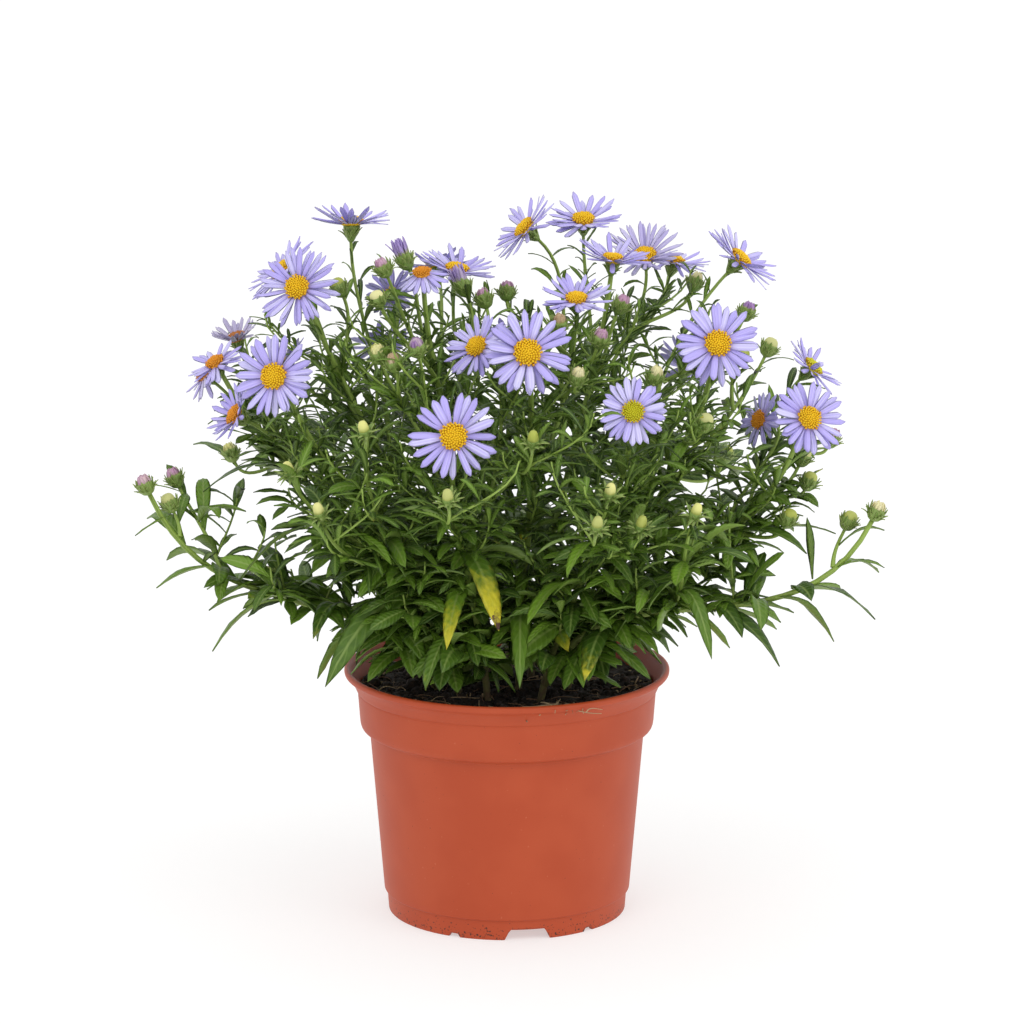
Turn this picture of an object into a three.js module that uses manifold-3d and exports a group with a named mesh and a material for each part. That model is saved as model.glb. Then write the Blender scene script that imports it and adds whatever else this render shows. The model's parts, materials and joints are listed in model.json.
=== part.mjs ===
// A potted aster in flower: violet blooms with yellow discs on branched leafy stems,
// in a round terracotta-coloured nursery pot filled with dark peat.
// Millimetres, +Z up. The origin is on the pot's axis at the level of its feet,
// -Y faces the viewer and +X is to the right.
import * as THREE from "three";
import { mergeVertices } from "three/addons/utils/BufferGeometryUtils.js";
import Module from "manifold-3d";

const wasm = await Module();
wasm.setup();

const GAP = 0.35; // clear space that neighbouring pieces keep
const TOUCH = 0.03; // cubic millimetres that a root may share with the face it grows from

// The pot: radius and height of each corner, outside from the foot up, then inside down.
const POT_SIDES = 28;
const POT_PROFILE = [
  [45.4, 0],
  [47.6, 0],
  [48.2, 8],
  [49.3, 8.5],
  [54.9, 74.5],
  [58.2, 75.6],
  [59.7, 90.5],
  [63, 96],
  [65, 97.4],
  [65, 99.2],
  [63.8, 100],
  [62.4, 99],
  [58.4, 91],
  [56.9, 77],
  [53.7, 74.6],
  [46.5, 7],
  [0, 7],
  [0, 5],
  [45.8, 5],
];
const NOTCH = { turn: 10, width: 18, top: 14, height: 4.4 }; // in the foot ring, in front
const NICKS = [
  { turn: -26, width: 3.3, height: 1.6 },
  { turn: 43, width: 3.3, height: 1.6 },
];
const DRAIN = { count: 4, radius: 4.5, ring: 26, sides: 8, below: 4, above: 8 };

// The soil: its surface undulates round one height, below the rim.
const SOIL = {
  top: 92,
  swell: 1,
  bottom: 7.35,
  side: [[46.1, 7.35], [53.3, 74.6], [56.5, 77]],
  rings: [57.4, 36],
};
const STEM_FOOT = 84; // height at which the stems end, in plain holes in the soil

// A main stem rises from the soil or leaves another stem low down; the others are side
// shoots. Both have a circumradius in the parent's face, at the foot and at the head, sides
// and segments, a share of the length with no leaves, and a length for each leaf above that.
const MAIN = { neck: 0.85, foot: 1.7, head: 1.2, sides: 4, segments: 6, bare: 0.17, spacing: 23 };
const SIDE = { neck: 0.62, foot: 1.1, head: 1, sides: 3, segments: 3, bare: 0.2, spacing: 62 };

// A bloom's parts, as shares of its diameter or radius.
const BLOOM = {
  discShare: 0.148,
  hubShare: 0.25,
  rayWidthShare: 0.18,
  cupShare: 0.21,
  rayThickness: 0.7,
  discSides: 8,
  wholeDisc: [
    { radius: 0.29, height: 0.09 },
    { radius: 0.17, height: 0.18 },
  ],
};
// How far a ray strays from its place: shares of the step between rays and of its length,
// and degrees of its rise.
const STRAY = { turn: 0.3, length: 0.1, rise: 16 };

// A shoot leaves its parent by these shares of the parent's way, the way to its head and
// the face's way out; its curve's inner points lie at these shares of its length, and
// every few tries move them further.
const GROWTH = { along: 0.4, toHead: 0.5, out: 0.5, first: 0.35, last: 0.3, bend: 2.5, tries: 4 };
const SHOOT_TRIES = 24;

// Where a seat may lie along a face, and what straying from the wanted share costs it.
const SEAT = { nearest: 0.15, furthest: 0.85, cost: 8 };

// Leaves: thickness, width at the root, and what those drawn along a shoot follow. Their
// size goes by height, from the low end to the high end.
const LEAF = {
  blade: 0.7,
  root: 1,
  tries: 10,
  low: { z: 130, length: 32, slim: 0.3, rise: -6 },
  high: { z: 240, length: 15, slim: 0.17, rise: 34 },
  turn: 137.5,
  outward: 0.7,
  sideShare: 0.85,
  strayRise: 30,
  strayLength: 0.4,
};
const REACH = { side: 147, front: 119, back: 119, low: 99 };

// Blooms: centre of the disc, diameter, lean from upright in degrees and the compass turn
// that it leans toward (0 viewer, 90 right, 180 away, 270 left), the rays' rise in degrees,
// and their number. A whole bloom is one piece; the others have a disc of their own.
const BLOOMS = {
  B01: { at: [-62, 30, 273], size: 31, lean: 8, toward: 180, rise: 20, rays: 12, whole: true },
  B02: { at: [-81, -22, 257], size: 31, lean: 62, toward: 340, rise: 8, rays: 16 },
  B03: { at: [-88, 8, 258], size: 30, lean: 45, toward: 285, rise: 12, rays: 12, whole: true },
  B04: { at: [-89, -52, 228], size: 33, lean: 70, toward: 340, rise: 8, rays: 18 },
  B05: { at: [-107, 12, 230], size: 22, lean: 20, toward: 300, rise: 35, rays: 12, whole: true },
  B06: { at: [-114, -8, 224], size: 24, lean: 30, toward: 300, rise: 4, rays: 14 },
  B07: { at: [-119.5, 14, 215], size: 22, lean: 50, toward: 280, rise: -15, rays: 12, whole: true },
  B08: { at: [-105, -30, 208], size: 26, lean: 60, toward: 290, rise: 25, rays: 14 },
  B10: { at: [-20, 30, 254], size: 30, lean: 12, toward: 40, rise: 20, rays: 12, whole: true },
  B11: { at: [-28, 62, 250], size: 28, lean: 25, toward: 200, rise: 8, rays: 12, whole: true },
  B12: { at: [-33, -10, 260], size: 22, lean: 15, toward: 340, rise: -28, rays: 14 },
  B13: { at: [-46, 26, 246], size: 22, lean: 75, toward: 200, rise: 8, rays: 12, whole: true },
  B16: { at: [8, 36, 270], size: 29.5, lean: 48, toward: 285, rise: 12, rays: 16 },
  B17: { at: [31, 66, 268], size: 29, lean: 20, toward: 0, rise: 16, rays: 16 },
  B18: { at: [42, 20, 260], size: 27, lean: 8, toward: 60, rise: 22, rays: 14 },
  B19: { at: [55.5, 48, 256.5], size: 29, lean: 30, toward: 350, rise: 30, rays: 12, whole: true },
  B20: { at: [68, 84, 248], size: 27, lean: 15, toward: 100, rise: 10, rays: 12, whole: true },
  B21: { at: [93, 44, 256], size: 31, lean: 42, toward: 80, rise: 15, rays: 14, whole: true },
  B22: { at: [81, -48, 240], size: 33, lean: 65, toward: 5, rise: 8, rays: 18 },
  B23: { at: [48, -80, 220], size: 26.5, lean: 70, toward: 0, rise: 6, rays: 16 },
  B24: { at: [117, -36, 208], size: 30, lean: 60, toward: 20, rise: 8, rays: 16 },
  B25: { at: [100, -12, 202.5], size: 23, lean: 70, toward: 300, rise: 4, rays: 14 },
  B26: { at: [121, 20, 216.5], size: 28, lean: 45, toward: 80, rise: 15, rays: 14 },
  B27: { at: [-20, -92, 213], size: 34, lean: 72, toward: 0, rise: 8, rays: 20 },
  B28: { at: [8, -66, 240], size: 34.5, lean: 65, toward: 0, rise: 8, rays: 20 },
  B29: { at: [-11, -44, 237.6], size: 28, lean: 50, toward: 320, rise: 8, rays: 14 },
  B30: { at: [27, -28, 253], size: 26, lean: 18, toward: 0, rise: 18, rays: 14 },
  B31: { at: [2, 92, 212], size: 30, lean: 55, toward: 180, rise: 8, rays: 14, whole: true },
  B32: { at: [-52, 80, 214], size: 28, lean: 45, toward: 215, rise: 8, rays: 12, whole: true },
  B33: { at: [74, 78, 206], size: 29, lean: 50, toward: 140, rise: 8, rays: 12, whole: true },
  B34: { at: [-90, 52, 212], size: 27, lean: 50, toward: 240, rise: 8, rays: 12, whole: true },
};

// Buds: middle of the bud and its kind.
const BUDS = {
  K01: { at: [-140, -46, 184], kind: "bud" },
  K02: { at: [-130, -24, 182], kind: "bud" },
  K03: { at: [-131, -42, 176], kind: "bud" },
  K04: { at: [-94, -30, 144], kind: "bud" },
  K06: { at: [-48, -16, 264], kind: "bud" },
  K07: { at: [-9, 10, 247], kind: "bud" },
  K08: { at: [0, 42, 244], kind: "bud" },
  K09: { at: [-34, -70, 243], kind: "bud" },
  K10: { at: [-49, -58, 238], kind: "bud" },
  K11: { at: [-43, -64, 236], kind: "bud" },
  K12: { at: [-54, -84, 214], kind: "bud" },
  K13: { at: [-83, -74, 196], kind: "bud" },
  K14: { at: [-71, -92, 184], kind: "bud" },
  K15: { at: [-22, -108, 193], kind: "bud" },
  K16: { at: [10, -92, 212], kind: "bud" },
  K17: { at: [39, -98, 193], kind: "bud" },
  K18: { at: [34, -110, 183], kind: "bud" },
  K19: { at: [51, -92, 179], kind: "bud" },
  K20: { at: [72, -84, 182], kind: "bud" },
  K21: { at: [103, -8, 231], kind: "bud" },
  K22: { at: [129, 8, 191], kind: "bud" },
  K23: { at: [117, -4, 186], kind: "bud" },
  K24: { at: [119, -12, 178], kind: "bud" },
  K25: { at: [110, -34, 168], kind: "bud" },
  K26: { at: [133, -42, 169], kind: "bud" },
  K27: { at: [143, -52, 175], kind: "bud" },
  K28: { at: [92, -8, 227], kind: "bud" },
  K29: { at: [76, -62, 212], kind: "bud" },
  K30: { at: [95, 14, 241], kind: "bud" },
  K31: { at: [36, -42, 241], kind: "bud" },
  K32: { at: [20, -42, 247], kind: "bud" },
  K33: { at: [45, 2, 246], kind: "bud" },
  K34: { at: [27, -62, 230], kind: "bud" },
  K35: { at: [76, 52, 246], kind: "bud" },
  K36: { at: [57, -50, 228], kind: "bud" },
  K37: { at: [-66, 2, 253], kind: "bud" },
  K38: { at: [-50, -28, 254], kind: "bare" },
  K39: { at: [-18, 10, 254], kind: "tuft" },
  K40: { at: [-41, 2, 266], kind: "tuft" },
  K41: { at: [-24, 108, 178], kind: "bud" },
  K42: { at: [30, 110, 176], kind: "bud" },
  K43: { at: [-78, 86, 172], kind: "bud" },
  K44: { at: [90, 84, 168], kind: "bud" },
  K45: { at: [-112, 50, 176], kind: "bud" },
  K46: { at: [118, 52, 180], kind: "bud" },
};

// Each kind of closed head: radius and height of its rings, from its foot.
const HEADS = {
  bud: { rings: [[2.5, 3.2], [2.1, 6.2]], top: 8.6 },
  bare: { rings: [[3.2, 3.6], [3.6, 6]], top: 7.4 },
  tuft: { rings: [[2.9, 5], [3.6, 8.5], [2.6, 12]], top: 13.5 },
};

// Stems: where each stands, and its shoots in the order in which they grow. A shoot leaves
// its parent at a share of the parent's length and ends in a bloom or a bud. The first
// shoot rises from the soil. Where via is given, it bends by those two points.
const STEMS = {
  stem_left: {
    foot: [-24, -5],
    shoots: [
      { id: "K01", via: [[-50, -22, 150], [-112, -50, 120]] },
      { id: "K02", parent: "K01", from: 0.74 },
      { id: "K03", parent: "K01", from: 0.88 },
      { id: "K04", parent: "K01", from: 0.5 },
      { id: "B06", parent: "K01", from: 0.14, via: [[-42, 2, 150], [-90, -4, 176]] },
      { id: "B05", parent: "B06", from: 0.72 },
      { id: "B07", parent: "B06", from: 0.6 },
      { id: "B08", parent: "B06", from: 0.5 },
    ],
  },
  stem_left_front: {
    foot: [-17, -18],
    shoots: [
      { id: "B04", via: [[-24, -30, 140], [-72, -38, 180]] },
      { id: "K12", parent: "B04", from: 0.14, via: [[-30, -40, 140], [-58, -68, 170]] },
      { id: "K13", parent: "K12", from: 0.5 },
      { id: "K14", parent: "K12", from: 0.45 },
    ],
  },
  stem_left_top: {
    foot: [-14, 7],
    shoots: [
      { id: "B02", via: [[-26, 8, 150], [-62, -12, 205]] },
      { id: "B03", parent: "B02", from: 0.66 },
      { id: "B01", parent: "B02", from: 0.5 },
      { id: "K37", parent: "B02", from: 0.78 },
      { id: "B13", parent: "B01", from: 0.3 },
    ],
  },
  stem_mid_top: {
    foot: [-5, 3],
    shoots: [
      { id: "B12", via: [[-8, 6, 150], [-30, -2, 205]] },
      { id: "K06", parent: "B12", from: 0.78 },
      { id: "K38", parent: "B12", from: 0.7 },
      { id: "K40", parent: "B12", from: 0.82 },
      { id: "B10", parent: "B12", from: 0.5 },
      { id: "B11", parent: "B10", from: 0.3 },
      { id: "K39", parent: "B12", from: 0.6 },
      { id: "K07", parent: "K39", from: 0.5 },
    ],
  },
  stem_front: {
    foot: [-7, -22],
    shoots: [
      { id: "B27", via: [[-10, -36, 140], [-24, -66, 170]] },
      { id: "K15", parent: "B27", from: 0.68 },
      { id: "K09", parent: "B27", from: 0.62 },
      { id: "K10", parent: "K09", from: 0.35 },
      { id: "K11", parent: "K10", from: 0.6 },
      { id: "B29", parent: "B27", from: 0.45 },
    ],
  },
  stem_centre: {
    foot: [4, -10],
    shoots: [
      { id: "B28", via: [[8, -20, 150], [12, -40, 205]] },
      { id: "K16", parent: "B28", from: 0.58 },
      { id: "B30", parent: "B28", from: 0.55 },
      { id: "K31", parent: "B30", from: 0.5 },
      { id: "K32", parent: "B30", from: 0.7 },
      { id: "K34", parent: "K31", from: 0.4 },
    ],
  },
  stem_right_top: {
    foot: [9, 6],
    shoots: [
      { id: "B18", via: [[12, 10, 150], [36, 16, 205]] },
      { id: "B16", parent: "B18", from: 0.5 },
      { id: "K08", parent: "B16", from: 0.5 },
      { id: "B17", parent: "B18", from: 0.55 },
      { id: "B19", parent: "B18", from: 0.62 },
      { id: "B20", parent: "B19", from: 0.4 },
      { id: "K35", parent: "B19", from: 0.5 },
      { id: "K33", parent: "B18", from: 0.75 },
    ],
  },
  stem_front_right: {
    foot: [12, -23],
    shoots: [
      { id: "B23", via: [[20, -38, 140], [46, -60, 170]] },
      { id: "K17", parent: "B23", from: 0.62 },
      { id: "K18", parent: "K17", from: 0.35 },
      { id: "K19", parent: "B23", from: 0.52 },
      { id: "K36", parent: "B23", from: 0.66 },
      { id: "K27", parent: "B23", from: 0.1, via: [[38, -40, 158], [112, -58, 112]] },
      { id: "K26", parent: "K27", from: 0.86 },
      { id: "K20", parent: "K27", from: 0.42 },
    ],
  },
  stem_right: {
    foot: [22, -6],
    shoots: [
      { id: "B22", via: [[34, -12, 140], [78, -26, 190]] },
      { id: "K29", parent: "B22", from: 0.72 },
      { id: "K21", parent: "B22", from: 0.6 },
      { id: "K28", parent: "K21", from: 0.6 },
      { id: "B21", parent: "B22", from: 0.42 },
      { id: "K30", parent: "B21", from: 0.55 },
      { id: "B24", parent: "B22", from: 0.14, via: [[50, -14, 140], [104, -16, 152]] },
      { id: "B25", parent: "B24", from: 0.58 },
      { id: "B26", parent: "B24", from: 0.66 },
      { id: "K22", parent: "B26", from: 0.5 },
      { id: "K23", parent: "B24", from: 0.7 },
      { id: "K24", parent: "K23", from: 0.4 },
      { id: "K25", parent: "B24", from: 0.62 },
    ],
  },
  stem_back: {
    foot: [1, 21],
    shoots: [
      { id: "B31", via: [[0, 36, 150], [0, 66, 180]] },
      { id: "B32", parent: "B31", from: 0.4 },
      { id: "B34", parent: "B32", from: 0.4 },
      { id: "B33", parent: "B31", from: 0.35 },
      { id: "K41", parent: "B31", from: 0.6 },
      { id: "K42", parent: "B31", from: 0.55 },
      { id: "K43", parent: "B32", from: 0.55 },
      { id: "K45", parent: "B34", from: 0.5 },
      { id: "K44", parent: "B33", from: 0.5 },
      { id: "K46", parent: "B33", from: 0.45 },
    ],
  },
};

// The large leaves that stand out: the shoot, the share of its length, the tip, the width
// and how far the midrib arches over the straight line, as a share of that line.
const LARGE_LEAVES = [
  { on: "K12", from: 0.36, tip: [-70, -72, 110], width: 10, arch: 0.22 },
  { on: "K13", from: 0.55, tip: [-102, -78, 154], width: 10, arch: 0.16 },
  { on: "K01", from: 0.5, tip: [-115, -44, 117], width: 8, arch: 0.2 },
  { on: "K01", from: 0.36, tip: [-75, -60, 126], width: 7, arch: 0.25 },
  { on: "K15", from: 0.3, tip: [-37, -102, 137], width: 9, arch: 0.2 },
  { on: "B27", from: 0.56, tip: [-3, -90, 137], width: 11, arch: 0.18 },
  { on: "B27", from: 0.42, tip: [-23, -84, 128], width: 8, arch: 0.22 },
  { on: "B23", from: 0.42, tip: [8, -84, 138], width: 8, arch: 0.15 },
  { on: "K19", from: 0.25, tip: [49, -84, 127], width: 9, arch: 0.2 },
  { on: "K27", from: 0.24, tip: [30, -70, 112], width: 9, arch: 0.18 },
  { on: "K18", from: 0.5, tip: [24, -112, 166], width: 7, arch: 0.15 },
  { on: "K19", from: 0.7, tip: [58, -104, 184], width: 5, arch: 0.1 },
  { on: "K20", from: 0.6, tip: [91, -80, 176], width: 8, arch: 0.12 },
  { on: "K27", from: 0.6, tip: [107, -58, 160], width: 8, arch: 0.08 },
  { on: "K27", from: 0.52, tip: [106, -56, 114], width: 8, arch: 0.15 },
  { on: "K27", from: 0.68, tip: [127, -56, 124], width: 6, arch: 0.22 },
  { on: "K20", from: 0.3, tip: [79, -72, 121], width: 6, arch: 0.3 },
  { on: "B24", from: 0.58, tip: [118, -46, 158], width: 7, arch: 0.15 },
  { on: "K25", from: 0.4, tip: [129, -26, 160], width: 5, arch: 0.12 },
  { on: "K27", from: 0.84, tip: [146, -58, 154], width: 3.5, arch: 0.15 },
  { on: "K27", from: 0.8, tip: [116, -54, 173], width: 4, arch: 0.1 },
  { on: "B28", from: 0.2, tip: [5, -70, 109], width: 8, arch: 0.3 },
  { on: "K12", from: 0.14, tip: [-50, -36, 106], width: 9, arch: 0.15 },
  { on: "K13", from: 0.7, tip: [-84, -60, 186], width: 5, arch: 0.1 },
  { on: "B08", from: 0.35, tip: [-118, -40, 180], width: 6, arch: 0.15 },
  { on: "K04", from: 0.5, tip: [-118, -20, 136], width: 6, arch: 0.2 },
  { on: "B31", from: 0.4, tip: [8, 92, 130], width: 10, arch: 0.2 },
  { on: "B32", from: 0.3, tip: [-52, 84, 138], width: 9, arch: 0.2 },
  { on: "B34", from: 0.3, tip: [-84, 56, 140], width: 9, arch: 0.18 },
  { on: "B33", from: 0.3, tip: [60, 78, 136], width: 9, arch: 0.2 },
  { on: "K46", from: 0.4, tip: [104, 46, 140], width: 8, arch: 0.2 },
];

const Z_UP = new THREE.Vector3(0, 0, 1);
const degrees = (angle) => (angle * Math.PI) / 180;
const vector = (xyz) => new THREE.Vector3(...xyz);
const mix = (a, b, share) => a + (b - a) * share;
const clamp = (value) => Math.min(1, Math.max(0, value));

// Numbers from 0 to 1, the same on every run for the same seed.
function draws(seed) {
  let state = seed >>> 0;
  return () => {
    state = (state + 0x6d2b79f5) >>> 0;
    let t = Math.imul(state ^ (state >>> 15), state | 1);
    t ^= t + Math.imul(t ^ (t >>> 7), t | 61);
    return ((t ^ (t >>> 14)) >>> 0) / 4294967296;
  };
}

// The unit vector that leans from upright toward a compass turn.
function leaning(lean, toward) {
  const out = Math.sin(degrees(lean));
  const turn = degrees(toward);
  return new THREE.Vector3(
    out * Math.sin(turn),
    -out * Math.cos(turn),
    Math.cos(degrees(lean)),
  );
}

// Two unit vectors square to an axis and to each other.
function across(axis) {
  const rough = Math.abs(axis.z) > 0.9 ? new THREE.Vector3(1, 0, 0) : Z_UP;
  const u = new THREE.Vector3().crossVectors(rough, axis).normalize();
  return [u, new THREE.Vector3().crossVectors(axis, u)];
}

function solidOf(geometry) {
  for (const name of ["normal", "uv"]) geometry.deleteAttribute(name);
  const merged = mergeVertices(geometry, 1e-4);
  return new wasm.Manifold(
    new wasm.Mesh({
      numProp: 3,
      vertProperties: merged.attributes.position.array,
      triVerts: new Uint32Array(merged.index.array),
    }),
  );
}

// A closed body from its corner points and faces of three or more corners.
function bodyOf(points, faces) {
  const triangles = faces.flatMap((face) =>
    face.slice(2).map((_, i) => [face[0], face[i + 1], face[i + 2]]),
  );
  const geometry = new THREE.BufferGeometry();
  geometry.setFromPoints(points);
  geometry.setIndex(triangles.flat());
  return solidOf(geometry);
}

function latheOf(profile, sides) {
  const closed = profile.map(([radius, height]) => new THREE.Vector2(radius, height));
  const lathe = new THREE.LatheGeometry([...closed, closed[0].clone()], sides);
  return lathe.rotateX(Math.PI / 2);
}

// An upright prism with a round or cut-off section, from below to above.
function prism(shape, below, above) {
  const extruded = new THREE.ExtrudeGeometry(shape, {
    depth: above - below,
    bevelEnabled: false,
    curveSegments: 1,
  });
  return extruded.translate(0, 0, below);
}

function polygon(x, y, radius, sides) {
  const corners = Array.from({ length: sides }, (_, i) => {
    const turn = (i * 2 * Math.PI) / sides;
    return new THREE.Vector2(x + radius * Math.cos(turn), y + radius * Math.sin(turn));
  });
  return new THREE.Shape(corners);
}

// A cut through the foot ring at a compass turn, narrower at its top.
function footCut({ turn, width, top, height }) {
  const upper = top ?? width;
  const outline = new THREE.Shape([
    new THREE.Vector2(-width / 2, -1),
    new THREE.Vector2(width / 2, -1),
    new THREE.Vector2(upper / 2, height),
    new THREE.Vector2(-upper / 2, height),
  ]);
  const inner = 42;
  const block = new THREE.ExtrudeGeometry(outline, { depth: 10, bevelEnabled: false });
  block.rotateX(Math.PI / 2).translate(0, -inner, 0);
  return solidOf(block.rotateZ(degrees(turn)));
}

function makePot() {
  const shell = solidOf(latheOf(POT_PROFILE, POT_SIDES));
  const cuts = [NOTCH, ...NICKS].map(footCut);
  const drains = Array.from({ length: DRAIN.count }, (_, i) => {
    const turn = ((i + 0.5) * 2 * Math.PI) / DRAIN.count;
    const x = DRAIN.ring * Math.cos(turn);
    const y = DRAIN.ring * Math.sin(turn);
    return solidOf(prism(polygon(x, y, DRAIN.radius, DRAIN.sides), DRAIN.below, DRAIN.above));
  });
  return [...cuts, ...drains].reduce((pot, cut) => pot.subtract(cut), shell);
}

// Height of the soil's surface: crossing swells.
function soilHeight(x, y) {
  const swell = Math.sin(x / 9 + 1) * Math.cos(y / 11) + 0.5 * Math.sin((x - y) / 5.5);
  return SOIL.top + SOIL.swell * swell;
}

function makeSoil() {
  const surface = SOIL.rings.map((radius) => [radius, SOIL.top]);
  const profile = [[0, SOIL.bottom], ...SOIL.side, ...surface, [0, SOIL.top]];
  const lathe = latheOf(profile, POT_SIDES);
  const position = lathe.getAttribute("position");
  for (let i = 0; i < position.count; i += 1)
    if (position.getZ(i) >= SOIL.top)
      position.setZ(i, soilHeight(position.getX(i), position.getY(i)));
  return solidOf(lathe);
}

// The ring of ray florets: a star-shaped plate whose arms are the rays. Each ray leaves the
// hub between two corners and widens to a blunt end, and its own draws turn, lift and
// shorten it. On a whole bloom the disc rises from the hub.
function makeRays(bloom, seed) {
  const next = draws(seed);
  const axis = leaning(bloom.lean, bloom.toward);
  const [u, v] = across(axis);
  const centre = vector(bloom.at);
  const radius = bloom.size / 2;
  const hub = radius * BLOOM.hubShare;
  const half = (radius * BLOOM.rayWidthShare) / 2;
  const step = (2 * Math.PI) / bloom.rays;
  const points = [];
  const place = (turn, out, aside, height) => {
    const along = u.clone().multiplyScalar(Math.cos(turn)).addScaledVector(v, Math.sin(turn));
    const beside = new THREE.Vector3().crossVectors(axis, along);
    const at = centre.clone().addScaledVector(along, out).addScaledVector(beside, aside);
    return at.addScaledVector(axis, height);
  };
  const put = (turn, out, aside, height) => {
    points.push(place(turn, out, aside, height + BLOOM.rayThickness));
    points.push(place(turn, out, aside, height));
  };
  for (let i = 0; i < bloom.rays; i += 1) {
    const turn = (i + STRAY.turn * (next() - 0.5)) * step;
    const length = (radius - hub) * (1 - STRAY.length + STRAY.length * next());
    const rise = degrees(bloom.rise + STRAY.rise * (next() - 0.5));
    put((i - 0.5) * step, hub, 0, 0);
    for (const side of [-half, half])
      put(turn, hub + length * Math.cos(rise), side, length * Math.sin(rise));
  }
  // Six points a ray: hub corner, left and right end, each above and below.
  const faces = [];
  let rim = Array.from({ length: bloom.rays }, (_, i) => i * 6);
  faces.push(rim.map((corner) => corner + 1).reverse());
  for (const [i, corner] of rim.entries()) {
    const after = rim[(i + 1) % bloom.rays];
    const [left, right] = [corner + 2, corner + 4];
    faces.push([corner, left, right, after], [after + 1, right + 1, left + 1, corner + 1]);
    for (const [a, b] of [[corner, left], [left, right], [right, after]])
      faces.push([a, a + 1, b + 1, b]);
  }
  for (const ring of bloom.whole ? BLOOM.wholeDisc : []) {
    const upper = rim.map((_, i) => {
      const height = BLOOM.rayThickness + radius * ring.height;
      return points.push(place((i - 0.5) * step, radius * ring.radius, 0, height)) - 1;
    });
    for (const [i, low] of rim.entries()) {
      const j = (i + 1) % bloom.rays;
      faces.push([low, rim[j], upper[j]], [low, upper[j], upper[i]]);
    }
    rim = upper;
  }
  faces.push(rim);
  return bodyOf(points, faces);
}

// The disc: a low dome whose rim and crown stand up in knobs, as its florets do.
function makeDisc(bloom) {
  const axis = leaning(bloom.lean, bloom.toward);
  const [u, v] = across(axis);
  const floor = vector(bloom.at).addScaledVector(axis, BLOOM.rayThickness + GAP);
  const radius = bloom.size * BLOOM.discShare;
  const sides = BLOOM.discSides;
  const rings = [
    { radius: 0.82, height: 0, knob: 0 },
    { radius: 1, height: 0.32, knob: 0.07 },
    { radius: 0.62, height: 0.62, knob: -0.07 },
  ];
  const points = [];
  for (const ring of rings)
    for (let i = 0; i < sides; i += 1) {
      const turn = (i * 2 * Math.PI) / sides;
      const knob = 1 + ring.knob * (i % 2 ? 1 : -1);
      const out = radius * ring.radius * knob;
      const point = floor.clone().addScaledVector(axis, radius * ring.height * knob);
      point.addScaledVector(u, out * Math.cos(turn)).addScaledVector(v, out * Math.sin(turn));
      points.push(point);
    }
  const crown = points.push(floor.clone().addScaledVector(axis, radius * 0.56)) - 1;
  const faces = [Array.from({ length: sides }, (_, i) => sides - 1 - i)];
  for (let i = 0; i < sides; i += 1) {
    const j = (i + 1) % sides;
    for (const low of [0, sides]) {
      faces.push([low + i, low + j, low + sides + j]);
      faces.push([low + i, low + sides + j, low + sides + i]);
    }
    faces.push([2 * sides + i, 2 * sides + j, crown]);
  }
  return bodyOf(points, faces);
}

// The head that a shoot carries: the axis, the point where the stem ends, and rings of
// radius and height above that point. A bloom's green cup ends in spread bract tips.
function headOf(id) {
  const bloom = BLOOMS[id];
  if (bloom) {
    const axis = leaning(bloom.lean, bloom.toward);
    const cup = bloom.size * BLOOM.cupShare;
    const wide = bloom.size * 0.1;
    const foot = vector(bloom.at).addScaledVector(axis, -cup - GAP);
    const rings = [[wide, cup * 0.55, 0], [wide * 1.14, cup, 0.14]];
    return { axis, foot, rings, top: cup };
  }
  const bud = BUDS[id];
  const { rings, top } = HEADS[bud.kind];
  const [x, y] = bud.at;
  const turn = (Math.atan2(x, -y) * 180) / Math.PI;
  const axis = leaning(24, turn);
  const foot = vector(bud.at).addScaledVector(axis, -top / 2);
  return { axis, foot, rings: rings.map(([r, h]) => [r, h, 0.06]), top };
}

// A shoot's middle line, a cubic curve: out of its parent's face, in along its head's axis.
// Each further try bends it a little more, to pass its neighbours.
function shootCurve(shoot, parent, seat, foot, seed, attempt) {
  const head = headOf(shoot.id);
  const start = seat ? seat.point : new THREE.Vector3(...foot, STEM_FOOT);
  if (shoot.via)
    return new THREE.CubicBezierCurve3(start, ...shoot.via.map(vector), head.foot);
  const reach = head.foot.clone().sub(start);
  const length = reach.length();
  const out = parent.curve.getTangent(shoot.from).multiplyScalar(GROWTH.along);
  out.addScaledVector(reach, GROWTH.toHead / length);
  out.addScaledVector(seat.normal, GROWTH.out).normalize();
  const next = draws(seed * 31 + attempt);
  const bend = Math.ceil(attempt / GROWTH.tries) * GROWTH.bend;
  const stray = () => new THREE.Vector3(next() - 0.5, next() - 0.5, next() - 0.5);
  const first = start.clone().addScaledVector(out, length * GROWTH.first);
  const second = head.foot.clone().addScaledVector(head.axis, -length * GROWTH.last);
  first.addScaledVector(stray(), bend);
  second.addScaledVector(stray(), bend);
  return new THREE.CubicBezierCurve3(start, first, second, head.foot);
}

// The rings that a shoot's tube passes through, from its foot to its head, carried along
// the curve without twist. The foot of a side shoot lies in its parent's face.
function shootRings(size, curve, seat) {
  const rings = [];
  let u = seat ? seat.along : across(curve.getTangent(0))[0];
  for (let i = 0; i <= size.segments; i += 1) {
    const share = i / size.segments;
    const tangent = seat && i === 0 ? seat.normal : curve.getTangent(share);
    u = u.clone().addScaledVector(tangent, -u.dot(tangent)).normalize();
    const v = new THREE.Vector3().crossVectors(tangent, u);
    const radius = seat && i === 0 ? size.neck : mix(size.foot, size.head, share);
    rings.push({ centre: curve.getPoint(share), tangent, u, v, radius });
  }
  return rings;
}

function cornerOf(ring, corners, i, radius) {
  const turn = (i * 2 * Math.PI) / corners;
  const point = ring.centre.clone().addScaledVector(ring.u, radius * Math.cos(turn));
  return point.addScaledVector(ring.v, radius * Math.sin(turn));
}

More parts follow.
